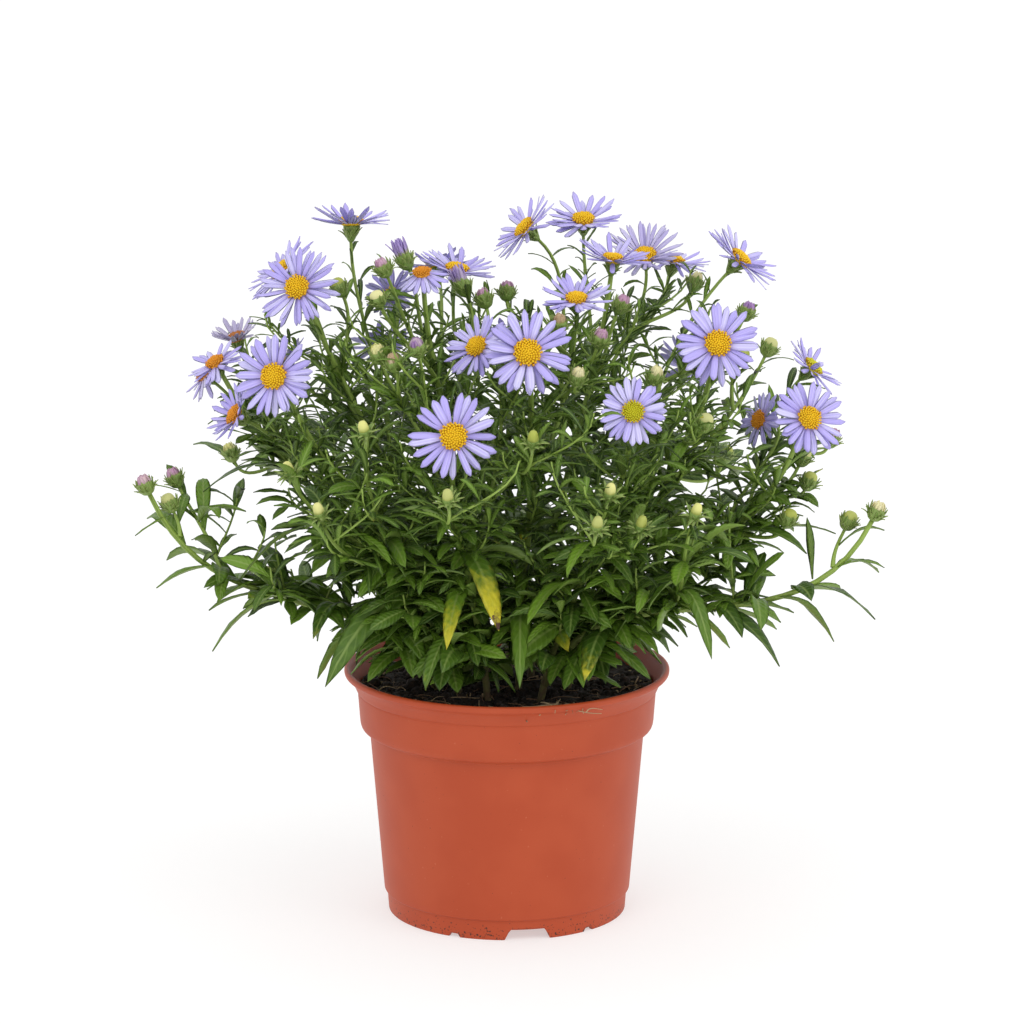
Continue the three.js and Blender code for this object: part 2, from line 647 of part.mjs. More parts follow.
// Where a shoot or leaf grows from a stem: the middle of the free face that looks most
// toward its target, near the wanted share of the stem's length.
function seatOn(stem, share, target) {
  const { segments, sides } = stem.size;
  let best = null;
  for (let k = 0; k < segments; k += 1) {
    const part = Math.min(SEAT.furthest, Math.max(SEAT.nearest, share * segments - k));
    const stray = Math.abs(share - (k + part) / segments);
    const [low, high] = [stem.rings[k], stem.rings[k + 1]];
    for (let i = 0; i < sides; i += 1) {
      const [a, b] = [0, 1].map((step) => cornerOf(low, sides, i + step, low.radius));
      const [c, d] = [0, 1].map((step) => cornerOf(high, sides, i + step, high.radius));
      const foot = a.clone().add(b).multiplyScalar(0.5);
      const end = c.clone().add(d).multiplyScalar(0.5);
      const point = foot.clone().lerp(end, part);
      const along = end.clone().sub(foot).normalize();
      const normal = b.clone().sub(a).cross(end.clone().sub(foot)).normalize();
      const score = normal.dot(target.clone().sub(point).normalize()) - SEAT.cost * stray;
      if (stem.taken.has(k * sides + i) || (best && score <= best.score)) continue;
      best = { point, normal, along, score, face: k * sides + i };
    }
  }
  return best;
}

// A band of faces between two rings of as many corners.
function bandOf(low, corners) {
  return Array.from({ length: corners }, (_, i) => {
    const j = (i + 1) % corners;
    return [low + i, low + j, low + corners + j, low + corners + i];
  });
}

// A shoot with its head as points and faces: a slim tube along its curve, whose last ring
// opens to twice as many corners for the head above it. The tube's faces come first, in
// the order in which seats number them, then the head's; the foot is closed by the cap.
function shootShape({ id, rings, size }, margin = 0) {
  const head = headOf(id);
  const { sides, segments } = size;
  const points = [];
  for (const [i, ring] of rings.entries())
    for (let k = 0; k < sides; k += 1) {
      const corner = cornerOf(ring, sides, k, ring.radius + margin);
      points.push(i ? corner : corner.addScaledVector(ring.tangent, -margin));
    }
  const last = rings[segments];
  const u = last.u.clone().addScaledVector(head.axis, -last.u.dot(head.axis)).normalize();
  const v = new THREE.Vector3().crossVectors(head.axis, u);
  for (const [radius, height, spread] of head.rings) {
    const centre = head.foot.clone().addScaledVector(head.axis, height);
    for (let k = 0; k < 2 * sides; k += 1) {
      const out = (radius + margin) * (1 + spread * (k % 2 ? 1 : -1));
      points.push(cornerOf({ centre, u, v }, 2 * sides, k, out));
    }
  }
  const tube = [];
  for (let i = 0; i < segments; i += 1) tube.push(...bandOf(i * sides, sides));
  const neck = segments * sides;
  const wide = neck + sides;
  const faces = [];
  for (let i = 0; i < sides; i += 1) {
    const [a, b] = [neck + i, neck + ((i + 1) % sides)];
    const [c, d, e] = [0, 1, 2].map((k) => wide + ((2 * i + k) % (2 * sides)));
    faces.push([a, b, d], [a, d, c], [b, e, d]);
  }
  for (let i = 0; i < head.rings.length - 1; i += 1)
    faces.push(...bandOf(wide + i * 2 * sides, 2 * sides));
  const rim = points.length - 2 * sides;
  points.push(head.foot.clone().addScaledVector(head.axis, head.top + margin));
  for (let i = 0; i < 2 * sides; i += 1)
    faces.push([rim + i, rim + ((i + 1) % (2 * sides)), points.length - 1]);
  const loop = Array.from({ length: sides }, (_, i) => i);
  return { points, tube, faces, loop };
}

// A leaf as points and faces: a thin blade along an arched midrib, from its root in a
// stem's face to its point. Its outline is a list of shares of the length and half width.
const OUTLINES = {
  large: [[0.22, 0.55], [0.5, 1], [0.76, 0.8]],
  medium: [[0.36, 0.95], [0.7, 0.85]],
  small: [[0.45, 1]],
};

function leafShape({ seat, tip, width, arch }, margin = 0) {
  const root = seat.point;
  const chord = tip.clone().sub(root);
  const length = chord.length();
  const middle = root.clone().add(tip).multiplyScalar(0.5).addScaledVector(Z_UP, 2 * arch * length);
  const midrib = new THREE.QuadraticBezierCurve3(root, middle, tip);
  const beside = new THREE.Vector3().crossVectors(chord, Z_UP).normalize();
  const outline = OUTLINES[width > 7 ? "large" : width > 5 ? "medium" : "small"];
  const half = LEAF.blade / 2 + margin;
  const points = [];
  const put = (at, up) => {
    points.push(at.clone().addScaledVector(up, half), at.clone().addScaledVector(up, -half));
  };
  const level = beside.clone().addScaledVector(seat.normal, -beside.dot(seat.normal)).normalize();
  const upright = new THREE.Vector3().crossVectors(level, seat.normal);
  for (const side of [-1, 1])
    put(root.clone().addScaledVector(level, side * (LEAF.root / 2 + margin)), upright);
  for (const [share, full] of outline) {
    const up = new THREE.Vector3().crossVectors(beside, midrib.getTangent(share));
    const at = midrib.getPoint(share);
    for (const side of [-1, 1])
      put(at.clone().addScaledVector(beside, side * ((width / 2) * full + margin)), up);
  }
  put(tip, new THREE.Vector3().crossVectors(beside, midrib.getTangent(1)));
  const faces = [];
  const end = points.length - 2;
  const plate = (...top) => faces.push(top, top.map((i) => i + 1).reverse());
  const wall = (a, b) => faces.push([a, a + 1, b + 1, b]);
  for (let left = 0; left < end; left += 4) {
    const right = left + 2;
    const [nextLeft, nextRight] = left + 4 === end ? [end, end] : [left + 4, right + 4];
    if (nextLeft === nextRight) plate(left, right, end);
    else plate(left, right, nextRight, nextLeft);
    wall(right, nextRight);
    wall(nextLeft, left);
  }
  return { points, tube: [], faces, loop: [2, 3, 1, 0] };
}

// A shape closed at its foot, as a solid.
function solidShape({ points, tube, faces, loop }) {
  return bodyOf(points, [...tube, ...faces, loop.toReversed()]);
}

// The leaf that a shoot bears at one of its slots: round the stem by the golden angle,
// drawn outward, long and broad low on the plant, short and narrow near the blooms.
function drawnLeaf(stem, share, slot, attempt) {
  const { number, curve, size } = stem;
  const next = draws(number * 977 + slot * 31 + attempt * 7919);
  const about = curve.getPoint(share);
  const turn = slot * LEAF.turn + number * 50 + (next() - 0.5) * 50 + attempt * 47;
  const outward = new THREE.Vector3(about.x, about.y, 0).normalize();
  const wish = leaning(90, turn).multiplyScalar(0.8).addScaledVector(outward, LEAF.outward);
  const seat = seatOn(stem, share, about.clone().addScaledVector(wish, 1000));
  const flat = wish.normalize().addScaledVector(seat.normal, 0.8).setZ(0).normalize();
  const { low, high } = LEAF;
  const height = clamp((about.z - low.z) / (high.z - low.z));
  const rise = degrees(mix(low.rise, high.rise, height) + LEAF.strayRise * (next() - 0.5));
  const full = mix(low.length, high.length, height) * (size === MAIN ? 1 : LEAF.sideShare);
  const length = full * (1 + LEAF.strayLength * (next() - 0.5));
  const width = length * mix(low.slim, high.slim, height);
  const tip = seat.point.clone().addScaledVector(flat, length * Math.cos(rise));
  tip.z += length * Math.sin(rise);
  return { seat, tip, width, arch: 0.1 + 0.1 * next() };
}

// The collar between a face of a stem and the loop of corners that grows from it: both
// loops are walked round the seat together, each by the angle of its next corner.
function collar(points, face, loop, seat) {
  const beside = new THREE.Vector3().crossVectors(seat.normal, seat.along);
  const angle = (i) => {
    const from = points[i].clone().sub(seat.point);
    return Math.atan2(from.dot(beside), from.dot(seat.along));
  };
  const walk = (ring) => {
    const turns = ring.map(angle);
    const first = turns.indexOf(Math.min(...turns));
    const order = ring.map((_, k) => (first + k) % ring.length);
    const steps = order.map((k) => ({ at: ring[k], turn: turns[k] }));
    return [...steps, { at: steps[0].at, turn: steps[0].turn + 2 * Math.PI }];
  };
  const [outer, inner] = [walk(face), walk(loop)];
  const faces = [];
  let [i, j] = [0, 0];
  while (i < outer.length - 1 || j < inner.length - 1) {
    const outerNext = i < outer.length - 1 ? outer[i].turn + outer[i + 1].turn : Infinity;
    const innerNext = j < inner.length - 1 ? inner[j].turn + inner[j + 1].turn : Infinity;
    if (outerNext < innerNext) {
      faces.push([outer[i].at, outer[i + 1].at, inner[j].at]);
      i += 1;
    } else {
      faces.push([outer[i].at, inner[j + 1].at, inner[j].at]);
      j += 1;
    }
  }
  return faces;
}

// One body of all that a stem bears: each shape's foot opens into a face of its parent.
function assembled(growths) {
  const points = [];
  const faces = [];
  for (const growth of growths) {
    const { shape } = growth;
    growth.first = points.length;
    points.push(...shape.points);
    const shifted = (face) => face.map((i) => i + growth.first);
    growth.tube = shape.tube.map(shifted);
    faces.push(...shape.faces.map(shifted));
    const loop = shifted(shape.loop);
    if (growth.seat) {
      const parent = growth.parent;
      faces.push(...collar(points, parent.tube[growth.seat.face], loop, growth.seat));
      parent.tube[growth.seat.face] = null;
    } else faces.push(loop.toReversed());
  }
  for (const growth of growths) faces.push(...growth.tube.filter(Boolean));
  return bodyOf(points, faces);
}

function boxOf(solid) {
  const { min, max } = solid.boundingBox();
  return new THREE.Box3(new THREE.Vector3(...min), new THREE.Vector3(...max));
}

// Every solid placed so far, with its box, its node and its shoot.
const placed = [];

function keep(solid, node, shoot) {
  placed.push({ solid, box: boxOf(solid), node, shoot });
}

// Whether a shape is clear: its fattened solid touches no other node, apart from what the
// test leaves out, and its plain solid cuts nothing of its own node.
function isClear(shapeAt, node, ignores = () => false) {
  const [fat, plain] = [GAP, 0].map((margin) => solidShape(shapeAt(margin)));
  const box = boxOf(fat);
  return placed.every((other) => {
    if (ignores(other) || !box.intersectsBox(other.box)) return true;
    const own = other.node === node;
    return (own ? plain : fat).intersect(other.solid).volume() <= (own ? TOUCH : 0);
  });
}

const inReach = ({ x, y, z }) =>
  Math.abs(x) < REACH.side && y > -REACH.front && y < REACH.back && z > REACH.low;

const pot = makePot();
const peat = makeSoil();
keep(pot, "pot");
keep(peat, "soil");

const bloomNodes = [];
for (const [number, [id, bloom]] of Object.entries(BLOOMS).entries()) {
  const rays = makeRays(bloom, number + 1);
  const name = "bloom_" + id.slice(1);
  if (bloom.whole) bloomNodes.push([name, rays, "rays", id]);
  else {
    bloomNodes.push([name + "_rays", rays, "rays", id]);
    bloomNodes.push([name + "_disc", makeDisc(bloom), "disc", id]);
  }
}
for (const [name, solid, , id] of bloomNodes) keep(solid, name, id);

// The shoots of every stem, each bent clear of the other stems and of all blooms but its
// own, and the peat with a hole wherever a shoot stands in it.
const stems = {};
let soil = peat;
let shootNumber = 0;
for (const [node, stem] of Object.entries(STEMS)) {
  const grown = {};
  for (const shoot of stem.shoots) {
    shootNumber += 1;
    const size = shoot.via ? MAIN : SIDE;
    const parent = grown[shoot.parent];
    const target = shoot.via ? vector(shoot.via[0]) : headOf(shoot.id).foot;
    const seat = parent && seatOn(parent, shoot.from, target);
    const ignores = (other) => other.shoot === shoot.id || other.node === "soil";
    let record;
    let clear = false;
    for (let attempt = 0; attempt < SHOOT_TRIES && !clear; attempt += 1) {
      const curve = shootCurve(shoot, parent, seat, stem.foot, shootNumber, attempt);
      const rings = shootRings(size, curve, seat);
      record = { id: shoot.id, number: shootNumber, size, curve, rings, seat, parent };
      clear = isClear((margin) => shootShape(record, margin), node, ignores);
      if (shoot.via) break;
    }
    if (!clear) throw new Error(shoot.id + " crosses a neighbour");
    parent?.taken.add(seat.face);
    record.taken = new Set();
    record.shape = shootShape(record);
    grown[shoot.id] = record;
    if (record.rings[0].centre.z < SOIL.top + 6)
      soil = soil.subtract(solidShape(shootShape(record, GAP)));
    keep(solidShape(record.shape), node, shoot.id);
  }
  stems[node] = { grown, growths: Object.values(grown) };
}

function bearLeaf(node, shoot, leaf) {
  shoot.taken.add(leaf.seat.face);
  const shape = leafShape(leaf);
  stems[node].growths.push({ shape, seat: leaf.seat, parent: shoot });
  keep(solidShape(shape), node, shoot.id);
}

// The large leaves first, then one leaf for each slot along each shoot.
for (const { on, from, tip, width, arch } of LARGE_LEAVES) {
  const [node, stem] = Object.entries(stems).find(([, each]) => on in each.grown);
  const seat = seatOn(stem.grown[on], from, vector(tip));
  for (let attempt = 0; attempt < LEAF.tries; attempt += 1) {
    const next = draws(tip[0] * 100 + tip[1] * 10 + attempt);
    const stray = new THREE.Vector3(next() - 0.5, next() - 0.5, next() - 0.5);
    const leaf = { seat, width, arch, tip: vector(tip).addScaledVector(stray, attempt * 2) };
    if (!isClear((margin) => leafShape(leaf, margin), node)) continue;
    bearLeaf(node, stem.grown[on], leaf);
    break;
  }
}
for (const [node, stem] of Object.entries(stems))
  for (const shoot of Object.values(stem.grown)) {
    const { bare, spacing } = shoot.size;
    const slots = Math.max(1, Math.round(shoot.curve.getLength() / spacing));
    for (let slot = 0; slot < slots; slot += 1) {
      const share = mix(bare, 0.9, (slot + 0.5) / slots);
      for (let attempt = 0; attempt < LEAF.tries; attempt += 1) {
        const leaf = drawnLeaf(shoot, share, slot, attempt);
        if (!inReach(leaf.tip) || !isClear((margin) => leafShape(leaf, margin), node)) continue;
        bearLeaf(node, shoot, leaf);
        break;
      }
    }
  }

const FINISHES = {
  pot: { color: 0xb75336, roughness: 0.5, metalness: 0 },
  soil: { color: 0x2b211b, roughness: 0.95, metalness: 0 },
  rays: { color: 0xaea4e6, roughness: 0.6, metalness: 0 },
  disc: { color: 0xd4aa0a, roughness: 0.75, metalness: 0 },
  green: { color: 0x546829, roughness: 0.6, metalness: 0 },
};

const group = new THREE.Group();

function addMesh(name, solid, finish) {
  const { vertProperties, triVerts, numProp } = solid.getMesh();
  const geometry = new THREE.BufferGeometry();
  const corners = new THREE.InterleavedBuffer(vertProperties, numProp);
  geometry.setAttribute("position", new THREE.InterleavedBufferAttribute(corners, 3, 0));
  geometry.setIndex(new THREE.BufferAttribute(triVerts, 1));
  const mesh = new THREE.Mesh(geometry, new THREE.MeshStandardMaterial(FINISHES[finish]));
  mesh.name = name;
  group.add(mesh);
}

addMesh("pot", pot, "pot");
addMesh("soil", soil, "soil");
for (const [name, solid, finish] of bloomNodes) addMesh(name, solid, finish);
for (const [name, { growths }] of Object.entries(stems)) addMesh(name, assembled(growths), "green");

export default group;
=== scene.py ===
"""A potted aster in flower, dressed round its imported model.

The plant's tables and growing rules are the part's own, in millimetres with +Z up and the
viewer at -Y, so each finer piece stands where its solid stands. Meshes are in metres.
"""

import json
import logging
import math
from dataclasses import dataclass, field, replace
from enum import Enum
from functools import cached_property
from typing import Iterator

import bpy
import numpy as np
from mathutils.kdtree import KDTree
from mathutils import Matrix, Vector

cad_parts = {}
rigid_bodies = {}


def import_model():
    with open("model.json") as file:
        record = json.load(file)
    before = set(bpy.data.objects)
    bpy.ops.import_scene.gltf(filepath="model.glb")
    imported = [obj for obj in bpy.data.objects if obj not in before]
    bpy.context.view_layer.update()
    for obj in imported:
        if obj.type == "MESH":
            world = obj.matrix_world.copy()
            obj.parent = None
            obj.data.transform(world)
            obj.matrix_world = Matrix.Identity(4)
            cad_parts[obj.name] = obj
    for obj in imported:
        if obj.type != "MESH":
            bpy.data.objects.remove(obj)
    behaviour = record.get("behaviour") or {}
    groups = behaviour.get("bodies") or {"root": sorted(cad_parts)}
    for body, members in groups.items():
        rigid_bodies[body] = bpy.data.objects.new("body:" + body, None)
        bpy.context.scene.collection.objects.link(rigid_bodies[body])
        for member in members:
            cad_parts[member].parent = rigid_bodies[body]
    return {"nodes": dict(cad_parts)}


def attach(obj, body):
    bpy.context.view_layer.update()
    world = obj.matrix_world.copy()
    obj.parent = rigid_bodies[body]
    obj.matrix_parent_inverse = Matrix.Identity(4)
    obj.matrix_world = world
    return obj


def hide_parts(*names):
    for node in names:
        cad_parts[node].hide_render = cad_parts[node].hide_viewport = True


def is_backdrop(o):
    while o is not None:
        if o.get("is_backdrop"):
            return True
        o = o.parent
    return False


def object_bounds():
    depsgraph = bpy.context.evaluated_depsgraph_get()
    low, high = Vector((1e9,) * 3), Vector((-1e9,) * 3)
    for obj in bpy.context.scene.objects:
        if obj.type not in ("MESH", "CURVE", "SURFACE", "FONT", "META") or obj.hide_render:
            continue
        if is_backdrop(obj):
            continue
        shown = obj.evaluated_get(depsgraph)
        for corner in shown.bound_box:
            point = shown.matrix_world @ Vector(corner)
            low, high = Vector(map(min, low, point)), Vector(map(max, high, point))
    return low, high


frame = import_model()
CAD_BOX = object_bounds()

logging.basicConfig(level=logging.INFO, format="%(message)s")
LOG = logging.getLogger("aster")

Array = np.ndarray
Point = tuple[float, float, float]
MM = 0.001
GOLDEN_TURN = math.radians(137.508)
Z_UP = np.array((0.0, 0.0, 1.0))


class HeadKind(Enum):
    """Closed heads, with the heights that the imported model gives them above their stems."""

    BUD = 8.6
    BARE = 7.4
    TUFT = 13.5


class Tint(Enum):
    """Colours of the young rays or florets at the tip of a closed head."""

    GREEN = "A9B24A"
    PINK = "BC8FAE"
    PURPLE = "9A74AE"
    CREAM = "E6DFA8"
    YELLOW = "D9D882"
    BROWN = "B59A78"
    VIOLET = "A892CF"


class Age(Enum):
    """How far a bloom has opened or faded, which sets the colour of its disc."""

    YOUNG = "D2CE1E"
    OPEN = "F4C810"
    RIPE = "E59A20"
    FADED = "C07A3A"


@dataclass(frozen=True)
class Bloom:
    """An open bloom.

    Args:
        at: centre of the disc.
        size: diameter.
        lean: degrees from upright.
        toward: compass turn that it leans toward, 0 the viewer and 90 the right.
        rise: degrees that its rays rise.
        whole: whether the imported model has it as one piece.
        florets: number of ray florets.
        age: colour of the disc.
        fade: share of the rays' colour that is gone.
        spread: how far the rays reach, against half the diameter.
    """

    at: Point
    size: float
    lean: float
    toward: float
    rise: float
    whole: bool = False
    florets: int = 26
    age: Age = Age.OPEN
    fade: float = 0.0
    spread: float = 1.0

    @cached_property
    def axis(self) -> Array:
        """The way that the bloom faces."""
        return leaning(self.lean, self.toward)

    @property
    def radius(self) -> float:
        """Half the diameter."""
        return self.size / 2

    @property
    def ray_width(self) -> float:
        """Width of a ray: less than its share of the rim, so that the points stand apart."""
        return min(3.1, 1.55 * math.pi * self.radius / self.florets)


@dataclass(frozen=True)
class Bud:
    """A closed or half-open head: its middle, the colour of its tip, its kind, and whether
    its bracts spread like a star."""

    at: Point
    tint: Tint
    kind: HeadKind = HeadKind.BUD
    star: bool = False


@dataclass(frozen=True)
class Branch:
    """A shoot: the head that it bears, its parent, the share of the parent's length
    where it leaves, and two points that a main shoot bends by."""

    head: str
    parent: str | None = None
    leaves: float = 0.0
    via: tuple[Point, Point] | None = None


@dataclass(frozen=True)
class Stem:
    """A stem's place in the soil and its shoots in the order in which they grow."""

    foot: tuple[float, float]
    shoots: tuple[Branch, ...]


@dataclass(frozen=True)
class LargeLeaf:
    """A leaf that stands out: its shoot, the share of the shoot's length, its tip, its
    width, how far it arches, and how spoiled it is from 0 to 1."""

    on: str
    share: float
    tip: Point
    width: float
    arch: float
    spoiled: float = 0.0


@dataclass(frozen=True)
class TubeSize:
    """A shoot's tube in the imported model: circumradius in the parent's face, at the foot
    and at the head, sides, segments, the bare share and the length for each leaf."""

    neck: float
    foot: float
    head: float
    sides: int
    segments: int
    bare: float
    spacing: float


@dataclass(frozen=True)
class ShootRule:
    """How a packed side shoot runs: the shares of its parent's way, of the way to its head
    and of its face in its first way, the shares of its length that its ends run straight,
    and how much further it bends after each few tries."""

    parent: float = 0.4
    ahead: float = 0.5
    face: float = 0.5
    start: float = 0.35
    end: float = 0.3
    bend: float = 2.5
    bend_tries: int = 4


@dataclass(frozen=True)
class LeafRule:
    """How leaves change with height: each pair holds a value low on the plant and one near
    the blooms.

    Args:
        low: height where the change starts.
        over: height that it takes.
        rise: degrees that a leaf rises.
        length: lengths.
        width: widths as shares of the length.
    """

    low: float
    over: float
    rise: tuple[float, float]
    length: tuple[float, float]
    width: tuple[float, float] = (0.3, 0.17)


@dataclass(frozen=True)
class SlotRule:
    """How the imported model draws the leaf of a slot.

    Args:
        turns: degrees that the leaf's way turns for each slot, shoot and try.
        stray: degrees over which that way strays.
        around: share of that way.
        outward: share of the way out of the plant.
        off: share of the way that its face looks.
        rise: degrees over which its rise strays.
        length: the least share of its length, and how much more there can be.
        side: its length on a side shoot against one on a main shoot.
        arch: the least arch, and how much more there can be.
    """

    turns: Point = (137.5, 50, 47)
    stray: float = 50
    around: float = 0.8
    outward: float = 0.7
    off: float = 0.8
    rise: float = 30
    length: tuple[float, float] = (0.8, 0.4)
    side: float = 0.85
    arch: tuple[float, float] = (0.1, 0.1)


MAIN = TubeSize(neck=0.85, foot=1.7, head=1.2, sides=4, segments=6, bare=0.17, spacing=23)
SIDE = TubeSize(neck=0.62, foot=1.1, head=1, sides=3, segments=3, bare=0.2, spacing=62)
PACKED_SHOOT = ShootRule()
PACKED_SLOT = SlotRule()
PACKED_LEAF = LeafRule(low=130, over=110, rise=(-6, 34), length=(32, 15))
ADDED_LEAF = LeafRule(low=115, over=125, rise=(-8, 36), length=(30, 12.5))

# The height where a stem starts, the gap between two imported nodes, the thickness of a
# packed leaf, and how far off the point lies that a leaf reaches for.
STEM_FOOT = 84
CLEAR = 0.35
BLADE = 0.7
FAR = 1000
# The share of a shoot up to which it bears leaves.
LEAFY_TO = 0.9
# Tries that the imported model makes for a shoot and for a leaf, and what its random
# numbers start from.
SHOOT_TRIES = 24
LEAF_TRIES = 10
SHOOT_SEED = 977
SLOT_SEED = 31
TRY_SEED = 7919
# Shares of a bloom's size: its cup's height and its disc's radius.
CUP_SHARE = 0.21
DISC_SHARE = 0.142
# Lean of a closed head, in degrees from upright.
BUD_LEAN = 24
# The part of a face that growth may leave from, and the cost of straying from its place.
FACE_ENDS = (0.15, 0.85)
STRAY_COST = 8

BLOOMS = {
    "B01": Bloom((-62, 30, 273), 31, 8, 180, 20, whole=True, florets=32, spread=1.1),
    "B02": Bloom((-81, -22, 257), 31, 62, 340, 8, florets=34, spread=1.08),
    "B03": Bloom((-88, 8, 258), 30, 45, 285, 12, whole=True, florets=34, spread=1.1),
    "B04": Bloom((-89, -52, 228), 33, 70, 340, 8),
    "B05": Bloom((-107, 12, 230), 22, 20, 300, 35, whole=True, florets=26, age=Age.FADED, fade=0.6),
    "B06": Bloom((-114, -8, 224), 24, 30, 300, 4, florets=24, age=Age.RIPE),
    "B07": Bloom((-119.5, 14, 215), 22, 50, 280, -15, whole=True, florets=24, age=Age.FADED, fade=0.3),
    "B08": Bloom((-105, -30, 208), 26, 60, 290, 25, florets=28, age=Age.RIPE),
    "B10": Bloom((-20, 30, 254), 30, 12, 40, 20, whole=True, florets=32, spread=1.08),
    "B11": Bloom((-28, 62, 250), 28, 25, 200, 8, whole=True),
    "B12": Bloom((-33, -10, 260), 22, 15, 340, -28, florets=22, age=Age.RIPE),
    "B13": Bloom((-46, 26, 246), 22, 75, 200, 8, whole=True),
    "B16": Bloom((8, 36, 270), 29.5, 48, 285, 12, florets=30, spread=1.06),
    "B17": Bloom((31, 66, 268), 29, 20, 0, 16, florets=28, spread=1.08),
    "B18": Bloom((42, 20, 260), 27, 8, 60, 22, florets=32, spread=1.15),
    "B19": Bloom((55.5, 48, 256.5), 29, 30, 350, 30, whole=True, florets=36, fade=0.3, spread=1.15),
    "B20": Bloom((68, 84, 248), 27, 15, 100, 10, whole=True, florets=30, spread=1.1),
    "B21": Bloom((93, 44, 256), 31, 42, 80, 15, whole=True, florets=32, spread=1.08),
    "B22": Bloom((81, -48, 240), 33, 65, 5, 8),
    "B23": Bloom((48, -80, 220), 26.5, 70, 0, 6, florets=24, age=Age.YOUNG),
    "B24": Bloom((117, -36, 208), 30, 60, 20, 8, florets=24),
    "B25": Bloom((100, -12, 202.5), 23, 70, 300, 4, florets=24, age=Age.RIPE),
    "B26": Bloom((121, 20, 216.5), 28, 45, 80, 15, florets=30, age=Age.YOUNG),
    "B27": Bloom((-20, -92, 213), 34, 72, 0, 8, florets=21),
    "B28": Bloom((8, -66, 240), 34.5, 65, 0, 8, florets=27),
    "B29": Bloom((-11, -44, 237.6), 28, 50, 320, 8, florets=28),
    "B30": Bloom((27, -28, 253), 26, 18, 0, 18, florets=28, spread=1.1),
    "B31": Bloom((2, 92, 212), 30, 55, 180, 8, whole=True),
    "B32": Bloom((-52, 80, 214), 28, 45, 215, 8, whole=True),
    "B33": Bloom((74, 78, 206), 29, 50, 140, 8, whole=True),
    "B34": Bloom((-90, 52, 212), 27, 50, 240, 8, whole=True),
}

BUDS = {
    "K01": Bud((-140, -46, 184), Tint.PINK),
    "K02": Bud((-130, -24, 182), Tint.PINK),
    "K03": Bud((-131, -42, 176), Tint.GREEN),
    "K04": Bud((-94, -30, 144), Tint.GREEN),
    "K06": Bud((-48, -16, 264), Tint.PINK),
    "K07": Bud((-9, 10, 247), Tint.PINK),
    "K08": Bud((0, 42, 244), Tint.PINK),
    "K09": Bud((-34, -70, 243), Tint.PURPLE),
    "K10": Bud((-49, -58, 238), Tint.YELLOW),
    "K11": Bud((-43, -64, 236), Tint.BROWN),
    "K12": Bud((-54, -84, 214), Tint.YELLOW, star=True),
    "K13": Bud((-83, -74, 196), Tint.YELLOW, star=True),
    "K14": Bud((-71, -92, 184), Tint.YELLOW, star=True),
    "K15": Bud((-22, -108, 193), Tint.GREEN, star=True),
    "K16": Bud((10, -92, 212), Tint.GREEN, star=True),
    "K17": Bud((39, -98, 193), Tint.YELLOW, star=True),
    "K18": Bud((34, -110, 183), Tint.GREEN, star=True),
    "K19": Bud((51, -92, 179), Tint.GREEN, star=True),
    "K20": Bud((72, -84, 182), Tint.YELLOW, star=True),
    "K21": Bud((103, -8, 231), Tint.GREEN),
    "K22": Bud((129, 8, 191), Tint.PINK),
    "K23": Bud((117, -4, 186), Tint.GREEN),
    "K24": Bud((119, -12, 178), Tint.GREEN),
    "K25": Bud((110, -34, 168), Tint.GREEN),
    "K26": Bud((133, -42, 169), Tint.GREEN),
    "K27": Bud((143, -52, 175), Tint.CREAM),
    "K28": Bud((92, -8, 227), Tint.GREEN),
    "K29": Bud((76, -62, 212), Tint.GREEN),
    "K30": Bud((95, 14, 241), Tint.PURPLE),
    "K31": Bud((36, -42, 241), Tint.PINK),
    "K32": Bud((20, -42, 247), Tint.BROWN),
    "K33": Bud((45, 2, 246), Tint.PINK),
    "K34": Bud((27, -62, 230), Tint.CREAM),
    "K35": Bud((76, 52, 246), Tint.CREAM),
    "K36": Bud((57, -50, 228), Tint.CREAM),
    "K37": Bud((-66, 2, 253), Tint.GREEN),
    "K38": Bud((-50, -28, 254), Tint.YELLOW, HeadKind.BARE),
    "K39": Bud((-18, 10, 254), Tint.VIOLET, HeadKind.TUFT),
    "K40": Bud((-41, 2, 266), Tint.VIOLET, HeadKind.TUFT),
    "K41": Bud((-24, 108, 178), Tint.GREEN),
    "K42": Bud((30, 110, 176), Tint.PINK),
    "K43": Bud((-78, 86, 172), Tint.CREAM),
    "K44": Bud((90, 84, 168), Tint.GREEN),
    "K45": Bud((-112, 50, 176), Tint.YELLOW),
    "K46": Bud((118, 52, 180), Tint.GREEN),
}

